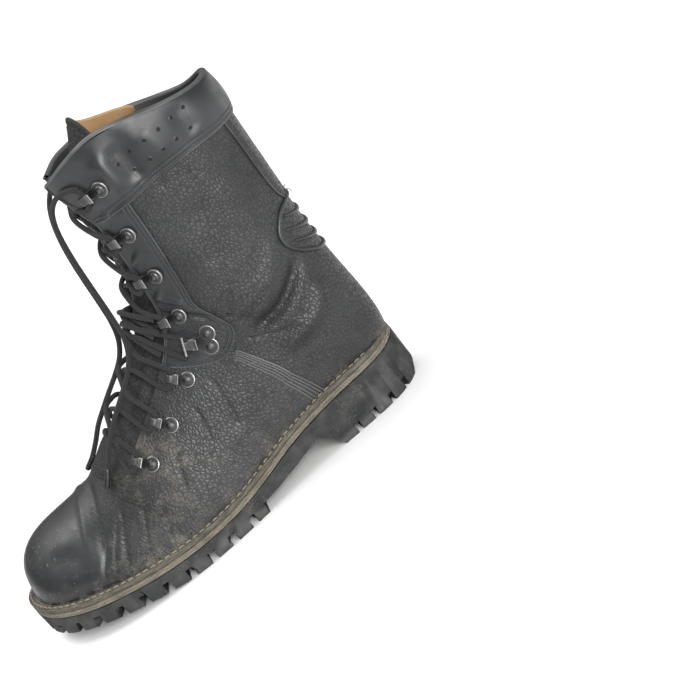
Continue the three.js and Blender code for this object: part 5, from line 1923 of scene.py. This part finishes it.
def outsole():
    source = bpy.data.objects["outsole"]
    shape = bmesh.new()
    shape.from_mesh(source.data)
    shape.transform(source.matrix_world)
    bmesh.ops.remove_doubles(shape, verts=shape.verts, dist=0.00002)
    bmesh.ops.dissolve_limit(shape, angle_limit=math.radians(2.5), verts=shape.verts,
                             edges=shape.edges)
    points = np.array([v.co for v in shape.verts]) / MM + FOOTPRINT_MIDDLE
    _, inward = nearest_edge(points)
    shape.verts.index_update()
    wall = [e for e in shape.edges
            if max(inward[v.index] for v in e.verts) < 1.4 and e.calc_length() > 0.0035
            and abs(e.verts[0].co.z - e.verts[1].co.z) < 0.7 * e.calc_length()]
    for cuts, low, high in ((1, 3.5, 6.5), (3, 6.5, 99)):
        chosen = [e for e in wall if e.is_valid and low < e.calc_length() / MM <= high]
        bmesh.ops.subdivide_edges(shape, edges=chosen, cuts=cuts)
    points = np.array([v.co for v in shape.verts]) / MM + FOOTPRINT_MIDDLE
    nearest, inward = nearest_edge(points)
    for vertex, near, depth in zip(shape.verts, nearest, inward):
        if depth < 1.4:
            shift = EDGE_IN[near] * (0.15 - depth) * MM
            vertex.co += Vector((*shift, 0))
    sharp = [e for e in shape.edges if len(e.link_faces) == 2
             and e.calc_face_angle() > math.radians(32)]
    bmesh.ops.bevel(shape, geom=sharp, offset=0.55 * MM, segments=2, affect="EDGES",
                    clamp_overlap=True, profile=0.6)
    bmesh.ops.triangulate(shape, faces=shape.faces)
    mesh = bpy.data.meshes.new("outsole_rubber")
    shape.to_mesh(mesh)
    shape.free()
    points = np.array([v.co for v in mesh.vertices]) / MM + FOOTPRINT_MIDDLE
    _, inward = nearest_edge(points)
    spring = np.interp(points[:, 0], [-158, -106, -74, -35, 158], [13.4, 7.9, 3.6, 0, 0])
    deep = smoothstep(points[:, 2] - spring, 2, 7) * smoothstep(inward, 1, 7)
    attribute = mesh.attributes.new("deep", "FLOAT", "POINT")
    attribute.data.foreach_set("value", deep.astype(np.float32))
    mesh.shade_smooth()
    mesh.set_sharp_from_angle(angle=math.radians(34))
    mesh.materials.append(rubber_finish())
    piece = bpy.data.objects.new("outsole_rubber", mesh)
    bpy.context.scene.collection.objects.link(piece)
    settle(piece, "sole_rubber", "outsole")


outsole()

# %% [markdown]
# ### Under the waist
# The smooth rubber between forefoot and heel has low ribs across it and a raised frame, which
# stays empty. They are round beads, half sunk into the rubber.

# %% Marks on the waist of the sole
def waist_height(x):
    return np.interp(x, [17, 30, 50, 64, 73], [8.6, 8.6, 11.8, 15, 17.6])


def waist_marks():
    """A bare raised frame and cross ribs, moulded into the rubber under the waist."""
    parts = []
    frame_line = [(36, -8), (58, -8), (58, 8), (36, 8), (36, -8)]
    runs = [np.array([a, b], float) for a, b in zip(frame_line[:-1], frame_line[1:])]
    runs += [np.array([(x, -30), (x, 27)], float) for x in (24, 28, 66)]
    for run in runs:
        f = np.linspace(0, 1, 16)[:, None]
        plan = run[0] + (run[1] - run[0]) * f
        line = np.column_stack([plan, waist_height(plan[:, 0]) - 0.05])
        parts.append(tube(line, 0.6, 8)[:2])
    piece = add_mesh("waist_marks", *joined(parts), bpy.data.materials["black rubber"], weld=0)
    settle(piece, "sole_rubber")


waist_marks()

# %% [markdown]
# ## Footbed
# The footbed is tan leather, pressed and darkened by the foot, dished a little at the heel.

# %% Footbed
def footbed():
    rows = []
    for x in np.linspace(-138, 150, 64):
        level = float(welt_top(x)) + 4.3
        w = np.linspace(0.6, 15.2, 150)
        sides = []
        for way in (OUTER, INNER):
            angle = np.linspace(4, 179.5, 150)
            grid = above(w[:, None], way * angle[None], np.array(-WALL - 1.2))
            gap = np.hypot(grid[..., 0] - x, grid[..., 2] - level)
            sides.append(grid[np.unravel_index(gap.argmin(), gap.shape)][1])
        if abs(sides[1] - sides[0]) < 3:
            continue
        across = np.linspace(-1, 1, 25)
        y = sides[0] + (sides[1] - sides[0]) * (across + 1) / 2
        dish = 1.6 * across ** 2 * smoothstep(x, -20, 60) - 0.4
        rows.append(np.stack([x + 0 * y, y, level + dish], 1))
    grid = np.array(rows)
    uv = grid[..., :2].reshape(-1, 2)
    piece = add_mesh("footbed", grid.reshape(-1, 3), grid_faces(*grid.shape[:2]),
                     LINING_TAN, uv, weld=0)
    settle(piece, "insole_lining", "insole")


footbed()

# %% [markdown]
# ## Floor and light
# The boot stands on a plain pale floor. The light is that of a product table: a dome that is
# bright overhead, a large soft source on the boot's outer side, which draws the highlights on
# the shaft and the toe, and a weaker one above. Suns with a wide angle give both: their light
# is as strong at the heel as at the toe, which a lamp close by can't do.

# %% Floor
def floor_piece():
    mesh = bpy.data.meshes.new("floor")
    reach = 20
    corners = [(-reach, -reach, 0), (reach, -reach, 0), (reach, reach, 0), (-reach, reach, 0)]
    mesh.from_pydata(corners, [], [(0, 1, 2, 3)])
    material, tree, shader = new_material("pale floor")
    cloud = node(tree, "ShaderNodeTexNoise", {"Scale": 3.0, "Detail": 2.0})
    shade = blend(tree, cloud.outputs[0], (0.93, 0.93, 0.925, 1), (0.95, 0.95, 0.95, 1))
    tree.links.new(shade, shader.inputs["Base Color"])
    shader.inputs["Roughness"].default_value = 0.8
    mesh.materials.append(material)
    piece = bpy.data.objects.new("floor", mesh)
    bpy.context.scene.collection.objects.link(piece)


floor_piece()

# %% Light
def broad_sun(name, way, width, strength):
    lamp = bpy.data.lights.new(name, "SUN")
    lamp.angle = math.radians(width)
    lamp.energy = strength
    light = bpy.data.objects.new(name, lamp)
    light.rotation_mode = "QUATERNION"
    light.rotation_quaternion = (-Vector(way)).to_track_quat("-Z", "Y")
    bpy.context.scene.collection.objects.link(light)


broad_sun("key", (0.30, -0.95, 0.34), 38, 4.0)
broad_sun("top", (-0.25, 0.2, 1.0), 36, 1.2)
world = bpy.data.worlds.new("dome")
world.use_nodes = True
sky = world.node_tree
way_up = node(sky, "ShaderNodeSeparateXYZ",
              {"Vector": node(sky, "ShaderNodeTexCoord").outputs["Generated"]})
glow = remap(sky, way_up.outputs["Z"], 0.05, 0.85, 0.14, 0.95)
sky.links.new(glow, sky.nodes["Background"].inputs["Strength"])
sky.nodes["Background"].inputs["Color"].default_value = (1, 1, 1, 1)
bpy.context.scene.world = world
bpy.context.scene.view_settings.view_transform = "Standard"
